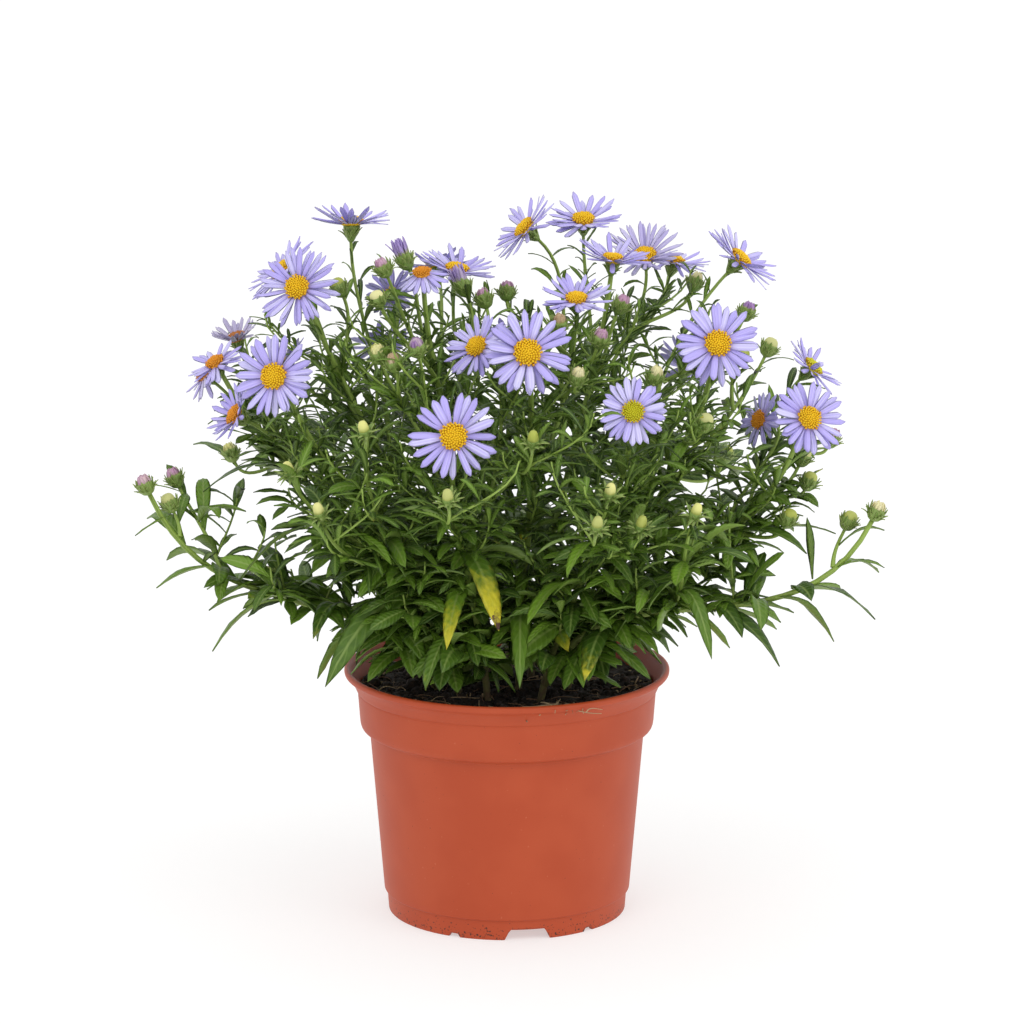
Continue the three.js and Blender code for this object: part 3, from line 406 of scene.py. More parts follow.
STEMS = {
    "stem_left": Stem(
        foot=(-24, -5),
        shoots=(
            Branch("K01", via=((-50, -22, 150), (-112, -50, 120))),
            Branch("K02", "K01", 0.74),
            Branch("K03", "K01", 0.88),
            Branch("K04", "K01", 0.5),
            Branch("B06", "K01", 0.14, via=((-42, 2, 150), (-90, -4, 176))),
            Branch("B05", "B06", 0.72),
            Branch("B07", "B06", 0.6),
            Branch("B08", "B06", 0.5),
        ),
    ),
    "stem_left_front": Stem(
        foot=(-17, -18),
        shoots=(
            Branch("B04", via=((-24, -30, 140), (-72, -38, 180))),
            Branch("K12", "B04", 0.14, via=((-30, -40, 140), (-58, -68, 170))),
            Branch("K13", "K12", 0.5),
            Branch("K14", "K12", 0.45),
        ),
    ),
    "stem_left_top": Stem(
        foot=(-14, 7),
        shoots=(
            Branch("B02", via=((-26, 8, 150), (-62, -12, 205))),
            Branch("B03", "B02", 0.66),
            Branch("B01", "B02", 0.5),
            Branch("K37", "B02", 0.78),
            Branch("B13", "B01", 0.3),
        ),
    ),
    "stem_mid_top": Stem(
        foot=(-5, 3),
        shoots=(
            Branch("B12", via=((-8, 6, 150), (-30, -2, 205))),
            Branch("K06", "B12", 0.78),
            Branch("K38", "B12", 0.7),
            Branch("K40", "B12", 0.82),
            Branch("B10", "B12", 0.5),
            Branch("B11", "B10", 0.3),
            Branch("K39", "B12", 0.6),
            Branch("K07", "K39", 0.5),
        ),
    ),
    "stem_front": Stem(
        foot=(-7, -22),
        shoots=(
            Branch("B27", via=((-10, -36, 140), (-24, -66, 170))),
            Branch("K15", "B27", 0.68),
            Branch("K09", "B27", 0.62),
            Branch("K10", "K09", 0.35),
            Branch("K11", "K10", 0.6),
            Branch("B29", "B27", 0.45),
        ),
    ),
    "stem_centre": Stem(
        foot=(4, -10),
        shoots=(
            Branch("B28", via=((8, -20, 150), (12, -40, 205))),
            Branch("K16", "B28", 0.58),
            Branch("B30", "B28", 0.55),
            Branch("K31", "B30", 0.5),
            Branch("K32", "B30", 0.7),
            Branch("K34", "K31", 0.4),
        ),
    ),
    "stem_right_top": Stem(
        foot=(9, 6),
        shoots=(
            Branch("B18", via=((12, 10, 150), (36, 16, 205))),
            Branch("B16", "B18", 0.5),
            Branch("K08", "B16", 0.5),
            Branch("B17", "B18", 0.55),
            Branch("B19", "B18", 0.62),
            Branch("B20", "B19", 0.4),
            Branch("K35", "B19", 0.5),
            Branch("K33", "B18", 0.75),
        ),
    ),
    "stem_front_right": Stem(
        foot=(12, -23),
        shoots=(
            Branch("B23", via=((20, -38, 140), (46, -60, 170))),
            Branch("K17", "B23", 0.62),
            Branch("K18", "K17", 0.35),
            Branch("K19", "B23", 0.52),
            Branch("K36", "B23", 0.66),
            Branch("K27", "B23", 0.1, via=((38, -40, 158), (112, -58, 112))),
            Branch("K26", "K27", 0.86),
            Branch("K20", "K27", 0.42),
        ),
    ),
    "stem_right": Stem(
        foot=(22, -6),
        shoots=(
            Branch("B22", via=((34, -12, 140), (78, -26, 190))),
            Branch("K29", "B22", 0.72),
            Branch("K21", "B22", 0.6),
            Branch("K28", "K21", 0.6),
            Branch("B21", "B22", 0.42),
            Branch("K30", "B21", 0.55),
            Branch("B24", "B22", 0.14, via=((50, -14, 140), (104, -16, 152))),
            Branch("B25", "B24", 0.58),
            Branch("B26", "B24", 0.66),
            Branch("K22", "B26", 0.5),
            Branch("K23", "B24", 0.7),
            Branch("K24", "K23", 0.4),
            Branch("K25", "B24", 0.62),
        ),
    ),
    "stem_back": Stem(
        foot=(1, 21),
        shoots=(
            Branch("B31", via=((0, 36, 150), (0, 66, 180))),
            Branch("B32", "B31", 0.4),
            Branch("B34", "B32", 0.4),
            Branch("B33", "B31", 0.35),
            Branch("K41", "B31", 0.6),
            Branch("K42", "B31", 0.55),
            Branch("K43", "B32", 0.55),
            Branch("K45", "B34", 0.5),
            Branch("K44", "B33", 0.5),
            Branch("K46", "B33", 0.45),
        ),
    ),
}

LARGE_LEAVES = (
    LargeLeaf("K12", 0.36, (-70, -72, 110), 10, 0.22),
    LargeLeaf("K13", 0.55, (-102, -78, 154), 10, 0.16),
    LargeLeaf("K01", 0.5, (-115, -44, 117), 8, 0.2),
    LargeLeaf("K01", 0.36, (-75, -60, 126), 7, 0.25, 0.2),
    LargeLeaf("K15", 0.3, (-37, -102, 137), 9, 0.2),
    LargeLeaf("B27", 0.56, (-3, -90, 137), 11, 0.18, 0.55),
    LargeLeaf("B27", 0.42, (-23, -84, 128), 8, 0.22, 0.45),
    LargeLeaf("B23", 0.42, (8, -84, 138), 8, 0.15),
    LargeLeaf("K19", 0.25, (49, -84, 127), 9, 0.2, 0.5),
    LargeLeaf("K27", 0.24, (30, -70, 112), 9, 0.18, 0.35),
    LargeLeaf("K18", 0.5, (24, -112, 166), 7, 0.15),
    LargeLeaf("K19", 0.7, (58, -104, 184), 5, 0.1),
    LargeLeaf("K20", 0.6, (91, -80, 176), 8, 0.12),
    LargeLeaf("K27", 0.6, (107, -58, 160), 8, 0.08),
    LargeLeaf("K27", 0.52, (106, -56, 114), 8, 0.15),
    LargeLeaf("K27", 0.68, (127, -56, 124), 6, 0.22),
    LargeLeaf("K20", 0.3, (79, -72, 121), 6, 0.3),
    LargeLeaf("B24", 0.58, (118, -46, 158), 7, 0.15),
    LargeLeaf("K25", 0.4, (129, -26, 160), 5, 0.12),
    LargeLeaf("K27", 0.84, (146, -58, 154), 3.5, 0.15),
    LargeLeaf("K27", 0.8, (116, -54, 173), 4, 0.1),
    LargeLeaf("B28", 0.2, (5, -70, 109), 8, 0.3),
    LargeLeaf("K12", 0.14, (-50, -36, 106), 9, 0.15),
    LargeLeaf("K13", 0.7, (-84, -60, 186), 5, 0.1),
    LargeLeaf("B08", 0.35, (-118, -40, 180), 6, 0.15),
    LargeLeaf("K04", 0.5, (-118, -20, 136), 6, 0.2),
    LargeLeaf("B31", 0.4, (8, 92, 130), 10, 0.2),
    LargeLeaf("B32", 0.3, (-52, 84, 138), 9, 0.2),
    LargeLeaf("B34", 0.3, (-84, 56, 140), 9, 0.18),
    LargeLeaf("B33", 0.3, (60, 78, 136), 9, 0.2),
    LargeLeaf("K46", 0.4, (104, 46, 140), 8, 0.2),
)


def unit(vectors: Array) -> Array:
    """The vectors, each divided by its length."""
    return vectors / np.linalg.norm(vectors, axis=-1, keepdims=True)


def dot(a: Array, b: Array) -> Array:
    """Products of vectors, kept as a column."""
    return (a * b).sum(-1, keepdims=True)


def mix(a: float | Array, b: float | Array, share: float | Array) -> float | Array:
    """The value that lies a share of the way from a to b."""
    return a + (b - a) * share


def leaning(lean: float | Array, toward: float | Array) -> Array:
    """The unit vector that leans by so many degrees from upright toward a compass turn."""
    out, turn = np.sin(np.radians(lean)), np.radians(toward)
    return np.stack([out * np.sin(turn), -out * np.cos(turn), np.cos(np.radians(lean)) + 0 * turn], -1)


def square_to(axis: Array) -> tuple[Array, Array]:
    """Two unit vectors square to an axis and to each other, as the part takes them.

    Args:
        axis: a unit vector.
    Returns:
        The two vectors.
    """
    rough = np.array((1.0, 0.0, 0.0)) if abs(axis[2]) > 0.9 else Z_UP
    u = unit(np.cross(rough, axis))
    return u, np.cross(axis, u)


def draws(seed: int) -> Iterator[float]:
    """Numbers from 0 to 1, the same as the part's for the same seed.

    Args:
        seed: any whole number.
    Yields:
        The next number of a 32-bit generator.
    """
    word = 0xFFFFFFFF
    state = seed & word
    while True:
        state = (state + 0x6D2B79F5) & word
        t = ((state ^ (state >> 15)) * (state | 1)) & word
        t ^= (t + (t ^ (t >> 7)) * (t | 61)) & word
        yield ((t ^ (t >> 14)) & word) / 2**32


def bezier(controls: Array, shares: Array) -> Array:
    """Points of Bezier curves: neighbouring control points are mixed until one is left.

    Args:
        controls: (..., points, 3) control points.
        shares: (stations,) shares of the curve.
    Returns:
        (..., stations, 3) points.
    """
    layer = controls[..., None, :, :]
    share = shares[:, None, None]
    while layer.shape[-2] > 1:
        layer = mix(layer[..., :-1, :], layer[..., 1:, :], share)
    return layer[..., 0, :]


def slopes(controls: Array, shares: Array) -> Array:
    """Unit tangents of Bezier curves, with the arguments of bezier."""
    return unit(bezier(np.diff(controls, axis=-2), shares))


def length_of(curve: Array, chords: int = 200) -> float:
    """Length of a Bezier curve, over so many chords."""
    points = bezier(curve, np.linspace(0, 1, chords + 1))
    return float(np.linalg.norm(np.diff(points, axis=0), axis=1).sum())


def arched(root: Array, tip: Array, arch: float | Array) -> Array:
    """Control points of a midrib: its middle one is raised by twice the arch's share.

    Args:
        root: (..., 3) roots.
        tip: (..., 3) tips.
        arch: height of the arch as a share of the straight line.
    Returns:
        (..., 3, 3) control points.
    """
    length = np.linalg.norm(tip - root, axis=-1)
    middle = (root + tip) / 2 + (2 * arch * length)[..., None] * Z_UP
    return np.stack([root, middle, tip], -2)


@dataclass
class Sweeps:
    """Closed bodies gathered into one mesh, each a ring of points carried along a line."""

    points: list[Array] = field(default_factory=list)
    loops: list[Array] = field(default_factory=list)
    sizes: list[Array] = field(default_factory=list)
    marks: dict[str, list[Array]] = field(default_factory=dict)
    count: int = 0

    def add(self, rings: Array, **marks: float | Array) -> None:
        """Adds bodies with the same number of rings, and closes both ends of each.

        Args:
            rings: (bodies, stations, around, 3) points in millimetres, each ring turning
                to the right-hand rule about the way of travel.
            marks: values for the mesh's attributes, of a shape that fits the rings.
        """
        shape = rings.shape[:-1]
        index = self.count + np.arange(np.prod(shape)).reshape(shape)
        ahead = np.roll(index, -1, axis=2)
        quads = np.stack([index[:, :-1], ahead[:, :-1], ahead[:, 1:], index[:, 1:]], -1)
        caps = np.concatenate([index[:, 0, ::-1], index[:, -1]])
        self.loops += [quads.ravel(), caps.ravel()]
        self.sizes += [np.full(quads.size // 4, 4), np.full(len(caps), shape[2])]
        self.points.append(rings.reshape(-1, 3))
        for name, value in marks.items():
            self.marks.setdefault(name, []).append(np.broadcast_to(value, shape).ravel())
        self.count += index.size

    def piece(
        self,
        name: str,
        material: bpy.types.Material,
        slot: str,
        *nodes: str,
    ) -> bpy.types.Object:
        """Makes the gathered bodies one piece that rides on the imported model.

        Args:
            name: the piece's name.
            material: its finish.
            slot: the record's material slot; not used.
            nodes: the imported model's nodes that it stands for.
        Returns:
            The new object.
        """
        mesh = bpy.data.meshes.new(name)
        points = np.concatenate(self.points) * MM
        loops, sizes = np.concatenate(self.loops), np.concatenate(self.sizes)
        mesh.vertices.add(len(points))
        mesh.vertices.foreach_set("co", points.astype(np.float32).ravel())
        mesh.loops.add(len(loops))
        mesh.loops.foreach_set("vertex_index", loops.astype(np.int32))
        mesh.polygons.add(len(sizes))
        starts = np.concatenate([[0], np.cumsum(sizes)[:-1]])
        mesh.polygons.foreach_set("loop_start", starts.astype(np.int32))
        mesh.polygons.foreach_set("use_smooth", np.ones(len(sizes), bool))
        for mark, values in self.marks.items():
            layer = mesh.attributes.new(mark, "FLOAT", "POINT")
            layer.data.foreach_set("value", np.concatenate(values).astype(np.float32))
        mesh.update(calc_edges=True)
        mesh.validate()
        mesh.materials.append(material)
        LOG.info("%s: %d faces", name, len(sizes))
        made = bpy.data.objects.new(name, mesh)
        bpy.context.scene.collection.objects.link(made)
        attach(made, "root")
        if nodes:
            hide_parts(*nodes)
        return made


def tube_frames(middle: Array, tangent: Array) -> tuple[Array, Array]:
    """Frames along lines that turn little: a fixed vector square to each chord is made
    square to the tangent at every station.

    Args:
        middle: (bodies, stations, 3) points.
        tangent: (bodies, stations, 3) unit tangents.
    Returns:
        The side and the up vectors, so that side x up is the tangent.
    """
    chord = unit(middle[:, -1] - middle[:, 0])
    rough = np.where(abs(chord[:, 2:]) > 0.9, (1.0, 0.0, 0.0), Z_UP)
    fixed = unit(np.cross(rough, chord))[:, None]
    side = unit(fixed - dot(fixed, tangent) * tangent)
    return side, np.cross(tangent, side)


def round_rings(middle: Array, side: Array, up: Array, radius: Array, around: int) -> Array:
    """Rings of a round tube: the middle plus the radius times a turning unit vector.

    Args:
        middle: (bodies, stations, 3) points.
        side: (bodies, stations, 3) first vector square to the line.
        up: (bodies, stations, 3) second vector.
        radius: (bodies, stations) or (bodies, stations, around) radii.
        around: points in each ring.
    Returns:
        (bodies, stations, around, 3) points.
    """
    turn = np.arange(around) * math.tau / around
    spokes = side[:, :, None] * np.cos(turn)[:, None] + up[:, :, None] * np.sin(turn)[:, None]
    wide = radius if radius.ndim == 3 else radius[..., None]
    return middle[:, :, None] + spokes * wide[..., None]


@dataclass(frozen=True)
class Section:
    """A blade's section: shares of the half width and of the thickness, round its edge."""

    across: Array
    high: Array


# A broad blade has a channel along the midrib, and the rib on its back.
BROAD = Section(
    across=np.array([1, 0.55, 0, -0.55, -1, -0.55, 0, 0.55]),
    high=np.array([0, 0.5, 0.3, 0.5, 0, -0.5, -0.8, -0.5]),
)
NARROW = Section(across=np.array([1, 0, -1, 0]), high=np.array([0, 0.4, 0, -0.6]))


def blade_rings(
    middle: Array,
    side: Array,
    up: Array,
    half: Array,
    thick: float,
    lift: Array,
    section: Section = BROAD,
) -> Array:
    """Rings of thin blades: the section's shares carried along a midrib.

    Args:
        middle: (bodies, stations, 3) midrib.
        side: (bodies, stations, 3) unit vectors across the blade.
        up: (bodies, stations, 3) unit vectors out of its face.
        half: (bodies, stations) half widths.
        thick: thickness of the blade.
        lift: (bodies, stations, around) extra heights of the section's points.
        section: the section.
    Returns:
        (bodies, stations, around, 3) points.
    """
    out = half[..., None] * section.across
    high = thick * section.high + lift
    return middle[:, :, None] + side[:, :, None] * out[..., None] + up[:, :, None] * high[..., None]


@dataclass(frozen=True)
class Head:
    """Where a shoot ends: its axis, the stem's end and the head's height above it."""

    axis: Array
    foot: Array
    top: float


def head_of(name: str) -> Head:
    """The head that a shoot carries, from the part's rule.

    Args:
        name: the bloom's or bud's name.
    Returns:
        Its axis, foot and height.
    """
    if name in BLOOMS:
        bloom = BLOOMS[name]
        cup = bloom.size * CUP_SHARE
        return Head(bloom.axis, np.array(bloom.at) - bloom.axis * (cup + CLEAR), cup)
    bud = BUDS[name]
    top = bud.kind.value
    turn = math.degrees(math.atan2(bud.at[0], -bud.at[1]))
    axis = leaning(BUD_LEAN, turn)
    return Head(axis, np.array(bud.at) - axis * top / 2, top)


@dataclass(frozen=True)
class Seat:
    """The middle of the face that a shoot or leaf grows from."""

    point: Array
    normal: Array
    along: Array
    face: int


@dataclass
class Shoot:
    """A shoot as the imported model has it, with the faces that other growth has taken."""

    name: str
    number: int
    size: TubeSize
    curve: Array
    seat: Seat | None
    taken: set[int] = field(default_factory=set)

    @cached_property
    def corners(self) -> Array:
        """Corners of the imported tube, its rings carried without twist.

        Returns:
            (rings, sides, 3) points.
        """
        shares = np.linspace(0, 1, self.size.segments + 1)
        centres, tangents = bezier(self.curve, shares), slopes(self.curve, shares)
        radii = mix(self.size.foot, self.size.head, shares)
        u = square_to(tangents[0])[0]
        if self.seat:
            u, tangents[0], radii[0] = self.seat.along, self.seat.normal, self.size.neck
        turn = np.arange(self.size.sides)[:, None] * math.tau / self.size.sides
        rings = []
        for centre, tangent, radius in zip(centres, tangents, radii):
            u = unit(u - u.dot(tangent) * tangent)
            v = np.cross(tangent, u)
            rings.append(centre + radius * (u * np.cos(turn) + v * np.sin(turn)))
        return np.array(rings)

    def seat_on(self, share: float, target: Array) -> Seat:
        """The middle of the free face that looks most toward a target, near a share.

        Args:
            share: share of the shoot's length.
            target: the point that the growth reaches for.
        Returns:
            The seat.
        """
        step = np.arange(self.size.segments)
        part = np.clip(share * self.size.segments - step, *FACE_ENDS)
        stray = abs(share - (step + part) / self.size.segments)
        low, high = self.corners[:-1], self.corners[1:]
        foot = (low + np.roll(low, -1, 1)) / 2
        end = (high + np.roll(high, -1, 1)) / 2
        point = mix(foot, end, part[:, None, None])
        normal = unit(np.cross(np.roll(low, -1, 1) - low, end - foot))
        score = dot(normal, unit(target - point))[..., 0] - STRAY_COST * stray[:, None]
        score.flat[list(self.taken)] = -np.inf
        face = int(score.argmax())
        pick = np.unravel_index(face, score.shape)
        return Seat(point[pick], normal[pick], unit(end - foot)[pick], face)

    @cached_property
    def length(self) -> float:
        """Length of the curve, over 200 chords as the part measures it."""
        return length_of(self.curve)


@dataclass
class Leaf:
    """A leaf: root, tip, width and arch, how spoiled it is, and its shoot's share."""

    root: Array
    tip: Array
    width: float
    arch: float
    spoiled: float = 0.0


class PackedPoints:
    """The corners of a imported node, to tell which of the part's tries it kept."""

    def __init__(self, node: str) -> None:
        """Gathers the node's corners in millimetres.

        Args:
            node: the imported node.
        """
        vertices = frame["nodes"][node].data.vertices
        self.tree = KDTree(len(vertices))
        for i, vertex in enumerate(vertices):
            self.tree.insert(vertex.co / MM, i)
        self.tree.balance()

    def has(self, point: Array, within: float = 0.06) -> bool:
        """Whether the node has a corner at a point."""
        return self.tree.find(point)[2] < within


def shoot_tries(
    branch: Branch,
    parent: Shoot | None,
    seat: Seat | None,
    foot: tuple[float, float],
    number: int,
) -> Iterator[Array]:
    """The curves that the part tries for a shoot, each bent a little more.

    Args:
        branch: the shoot's row.
        parent: the shoot that it leaves.
        seat: where it leaves it.
        foot: the stem's place in the soil.
        number: the shoot's place among all of them.
    Yields:
        (4, 3) control points.
    """
    head = head_of(branch.head)
    start = seat.point if seat else np.array((*foot, STEM_FOOT), float)
    if branch.via:
        yield np.array([start, *branch.via, head.foot])
        return
    rule = PACKED_SHOOT
    reach = head.foot - start
    length = np.linalg.norm(reach)
    tangent = slopes(parent.curve, np.array([branch.leaves]))[0]
    out = unit(tangent * rule.parent + reach * rule.ahead / length + seat.normal * rule.face)
    first = start + out * length * rule.start
    second = head.foot - head.axis * length * rule.end
    for attempt in range(SHOOT_TRIES):
        drawn = draws(number * SLOT_SEED + attempt)
        stray = np.array([[next(drawn) - 0.5 for _ in range(3)] for _ in range(2)])
        bend = math.ceil(attempt / rule.bend_tries) * rule.bend
        yield np.array([start, first + stray[0] * bend, second + stray[1] * bend, head.foot])


def large_tries(row: LargeLeaf, shoot: Shoot) -> Iterator[tuple[Seat, Leaf]]:
    """The leaves that the part tries for one that stands out, each strayed a little more.

    Args:
        row: the leaf's row.
        shoot: its shoot.
    Yields:
        The seat and the leaf.
    """
    tip = np.array(row.tip)
    seat = shoot.seat_on(row.share, tip)
    for attempt in range(LEAF_TRIES):
        drawn = draws(row.tip[0] * 100 + row.tip[1] * 10 + attempt)
        stray = np.array([next(drawn) - 0.5 for _ in range(3)])
        yield seat, Leaf(seat.point, tip + stray * attempt * 2, row.width, row.arch, row.spoiled)


def drawn_tries(shoot: Shoot, share: float, slot: int) -> Iterator[tuple[Seat, Leaf]]:
    """The leaves that the part draws for a slot of a shoot: round it by the golden angle
    and outward, and longer, broader and flatter low on the plant.

    Args:
        shoot: the shoot.
        share: share of its length.
        slot: number of the slot.
    Yields:
        The seat and the leaf.
    """
    rule, slots = PACKED_LEAF, PACKED_SLOT
    by_slot, by_shoot, by_try = slots.turns
    about = bezier(shoot.curve, np.array([share]))[0]
    height = min(1, max(0, (about[2] - rule.low) / rule.over))
    for attempt in range(LEAF_TRIES):
        drawn = draws(shoot.number * SHOOT_SEED + slot * SLOT_SEED + attempt * TRY_SEED)
        stray = (next(drawn) - 0.5) * slots.stray
        turn = slot * by_slot + shoot.number * by_shoot + stray + attempt * by_try
        wish = leaning(90, turn) * slots.around + unit(about * (1, 1, 0)) * slots.outward
        seat = shoot.seat_on(share, about + wish * FAR)
        flat = unit((unit(wish) + seat.normal * slots.off) * (1, 1, 0))
        rise = math.radians(mix(*rule.rise, height) + slots.rise * (next(drawn) - 0.5))
        length = mix(*rule.length, height) * (slots.length[0] + slots.length[1] * next(drawn))
        length = length * (1 if shoot.size is MAIN else slots.side)
        tip = seat.point + flat * length * math.cos(rise) + Z_UP * length * math.sin(rise)
        width = length * mix(*rule.width, height)
        yield seat, Leaf(seat.point, tip, width, slots.arch[0] + slots.arch[1] * next(drawn))


@dataclass
class Twig:
    """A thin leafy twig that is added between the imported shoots: its cubic curve and the
    shoot that it leaves."""

    curve: Array
    shoot: Shoot


@dataclass
class GrownStem:
    """One packed stem: its corners, its shoots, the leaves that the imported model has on
    them, and the twigs that are added."""

    node: str
    packed: PackedPoints
    shoots: dict[str, Shoot] = field(default_factory=dict)
    leaves: list[Leaf] = field(default_factory=list)
    twigs: list[Twig] = field(default_factory=list)

    def grow_shoots(self, first: int) -> None:
        """Grows the stem's shoots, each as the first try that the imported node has.

        Args:
            first: number of its first shoot among all of them.
        """
        stem = STEMS[self.node]
        for number, branch in enumerate(stem.shoots, first):
            parent = self.shoots.get(branch.parent)
            target = np.array(branch.via[0]) if branch.via else head_of(branch.head).foot
            seat = parent.seat_on(branch.leaves, target) if parent else None
            for curve in shoot_tries(branch, parent, seat, stem.foot, number):
                shoot = Shoot(branch.head, number, MAIN if branch.via else SIDE, curve, seat)
                if self.packed.has(shoot.corners[1, 0]):
                    break
            else:
                LOG.warning("no packed try fits %s", branch.head)
            if parent:
                parent.taken.add(seat.face)
            self.shoots[branch.head] = shoot

    def keep_leaf(self, shoot: Shoot, tries: Iterator[tuple[Seat, Leaf]]) -> None:
        """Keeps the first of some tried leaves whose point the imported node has.

        Args:
            shoot: the shoot that bears it.
            tries: seats and leaves.
        """
        for seat, leaf in tries:
            beside = unit(np.cross(leaf.tip - leaf.root, Z_UP))
            ribs = arched(leaf.root, leaf.tip, leaf.arch)
            up = np.cross(beside, slopes(ribs, np.array([1.0]))[0])
            if self.packed.has(leaf.tip + up * BLADE / 2):
                shoot.taken.add(seat.face)
                self.leaves.append(leaf)
                return


def grow_stems() -> list[GrownStem]:
    """Grows the part's stems again by its own rules, and keeps the tries that it kept.

    Returns:
        The stems with their shoots and leaves.
    """
    grown = [GrownStem(node, PackedPoints(node)) for node in STEMS]
    number = 1
    for stem in grown:
        stem.grow_shoots(number)
        number += len(stem.shoots)
    for row in LARGE_LEAVES:
        stem = next(each for each in grown if row.on in each.shoots)
        shoot = stem.shoots[row.on]
        stem.keep_leaf(shoot, large_tries(row, shoot))
    for stem in grown:
        for shoot in stem.shoots.values():
            slots = max(1, math.floor(shoot.length / shoot.size.spacing + 0.5))
            for slot in range(slots):
                share = mix(shoot.size.bare, LEAFY_TO, (slot + 0.5) / slots)
                stem.keep_leaf(shoot, drawn_tries(shoot, share, slot))
    return grown


Socket = bpy.types.NodeSocket

# Settings that many nodes share, and the numbers of the Mix node's sockets for colours.
TIMES = {"operation": "MULTIPLY"}
PLUS = {"operation": "ADD"}
EASED = {"interpolation_type": "SMOOTHSTEP"}
COLOURS = {"data_type": "RGBA"}
SHARE, FROM, TO, MIXED = 0, 6, 7, 2


def linear(colour: str) -> tuple[float, float, float, float]:
    """An sRGB hex colour as linear red, green, blue and full alpha."""
    parts = [int(colour[i : i + 2], 16) / 255 for i in (0, 2, 4)]
    return (*[p / 12.92 if p <= 0.04045 else ((p + 0.055) / 1.055) ** 2.4 for p in parts], 1.0)


def per_metre(size: float) -> float:
    """The noise scale that gives features of so many millimetres."""
    return 1 / (size * MM)


class Paint:
    """A material being made, with what its patterns read: the place on the object, and the
    mesh's own marks."""

    def __init__(self, name: str, settings: dict[str, object], *marks: str) -> None:
        """Makes the material.

        Args:
            name: its name.
            settings: constants for its shader's own sockets.
            marks: names of the mesh attributes that it reads.
        """
        self.material = bpy.data.materials.new(name)
        self.material.use_nodes = True
        self.tree = self.material.node_tree
        self.shader = self.tree.nodes["Principled BSDF"]
        for key, value in settings.items():
            self.shader.inputs[key].default_value = value
        self.place = self.add("TexCoord", {}, "Object")
        self.mark = {each: self.add("Attribute", {"attribute_name": each}, "Fac") for each in marks}

    def add(self, kind: str, settings: dict[int | str, object], out: int | str = 0) -> Socket:
        """Adds one node with its settings and links.

        Args:
            kind: the node's type, without its ShaderNode prefix.
            settings: its properties by name, and its inputs by name or number: a value,
                an sRGB hex colour, or the socket that feeds the input.
            out: name or number of the output that is wanted.
        Returns:
            That output.
        """
        node = self.tree.nodes.new("ShaderNode" + kind)
        for key, value in settings.items():
            if isinstance(value, Socket):
                self.tree.links.new(value, node.inputs[key])
            elif isinstance(key, str) and hasattr(node, key):
                setattr(node, key, value)
            else:
                node.inputs[key].default_value = linear(value) if isinstance(value, str) else value
        return node.outputs[out]

    def finished(
        self,
        base: Socket,
        relief: Socket | None = None,
        depth: float = 0.0,
    ) -> bpy.types.Material:
        """Feeds the shader.

        Args:
            base: the base colour.
            relief: height of a fine relief.
            depth: depth of the relief in millimetres.
        Returns:
            The material.
        """
        self.tree.links.new(base, self.shader.inputs["Base Color"])
        if relief is not None:
            normal = self.add("Bump", {"Height": relief, "Distance": depth * MM, "Strength": 1.0})
            self.tree.links.new(normal, self.shader.inputs["Normal"])
        return self.material


@dataclass(frozen=True)
class MouldedPolypropylene:
    """The pot: polypropylene moulded in a satin tool, so it is matte with a soft sheen, an
    even terracotta with faint flow clouds and a fine grain. It is dusty all over, and
    specked with soil near the table. Sizes of the patterns are in millimetres."""

    body: str = "AC431F"
    cloud: str = "B14824"
    dusty: str = "D08A66"
    soiled: str = "3A241A"
    clouds: float = 22.0
    dust: float = 1.4
    specks: float = 0.9
    grain: float = 0.5

    def material(self) -> bpy.types.Material:
        """Makes the finish.

        Returns:
            The material.
        """
        settings = {"Roughness": 0.5, "Specular IOR Level": 0.35}
        paint = Paint("moulded_polypropylene", settings, "drain")
        flow = paint.add("TexNoise", {"Vector": paint.place, "Scale": per_metre(self.clouds)})
        flow = paint.add("MapRange", EASED | {"Value": flow, "From Min": 0.35, "From Max": 0.7})
        base = paint.add("Mix", COLOURS | {SHARE: flow, FROM: self.body, TO: self.cloud}, MIXED)
        dust = paint.add("TexNoise", {"Vector": paint.place, "Scale": per_metre(self.dust)})
        dust = paint.add("MapRange", EASED | {"Value": dust, "From Min": 0.72, "From Max": 0.78})
        dust = paint.add("Math", TIMES | {0: dust, 1: 0.25})
        base = paint.add("Mix", COLOURS | {SHARE: dust, FROM: base, TO: self.dusty}, MIXED)
        height = paint.add("SeparateXYZ", {0: paint.place}, "Z")
        low = paint.add("MapRange", EASED | {"Value": height, "From Min": 0.012, "From Max": 0.0})
        low = paint.add("Math", TIMES | {0: low, 1: 0.16})
        soil = paint.add("TexNoise", {"Vector": paint.place, "Scale": per_metre(self.specks)})
        soil = paint.add("Math", PLUS | {0: soil, 1: low})
        soil = paint.add("MapRange", EASED | {"Value": soil, "From Min": 0.74, "From Max": 0.8})
        for share in (soil, paint.mark["drain"]):
            base = paint.add("Mix", COLOURS | {SHARE: share, FROM: base, TO: self.soiled}, MIXED)
        fine = paint.add("TexNoise", {"Vector": paint.place, "Scale": per_metre(self.grain)})
        return paint.finished(base, fine, 0.02)


@dataclass(frozen=True)
class DampPeat:
    """Peat mix: damp and crumbly, near black with brown crumbs, no shine."""

    dark: str = "17100C"
    brown: str = "3B2A1E"
    crumb: float = 1.6

    def material(self) -> bpy.types.Material:
        """Makes the finish.

        Returns:
            The material.
        """
        paint = Paint("damp_peat", {"Roughness": 0.9})
        scale = per_metre(self.crumb)
        lumps = paint.add("TexNoise", {"Vector": paint.place, "Scale": scale, "Detail": 4.0})
        share = paint.add("MapRange", EASED | {"Value": lumps, "From Min": 0.4, "From Max": 0.75})
        base = paint.add("Mix", COLOURS | {SHARE: share, FROM: self.dark, TO: self.brown}, MIXED)
        return paint.finished(base, lumps, 0.8)


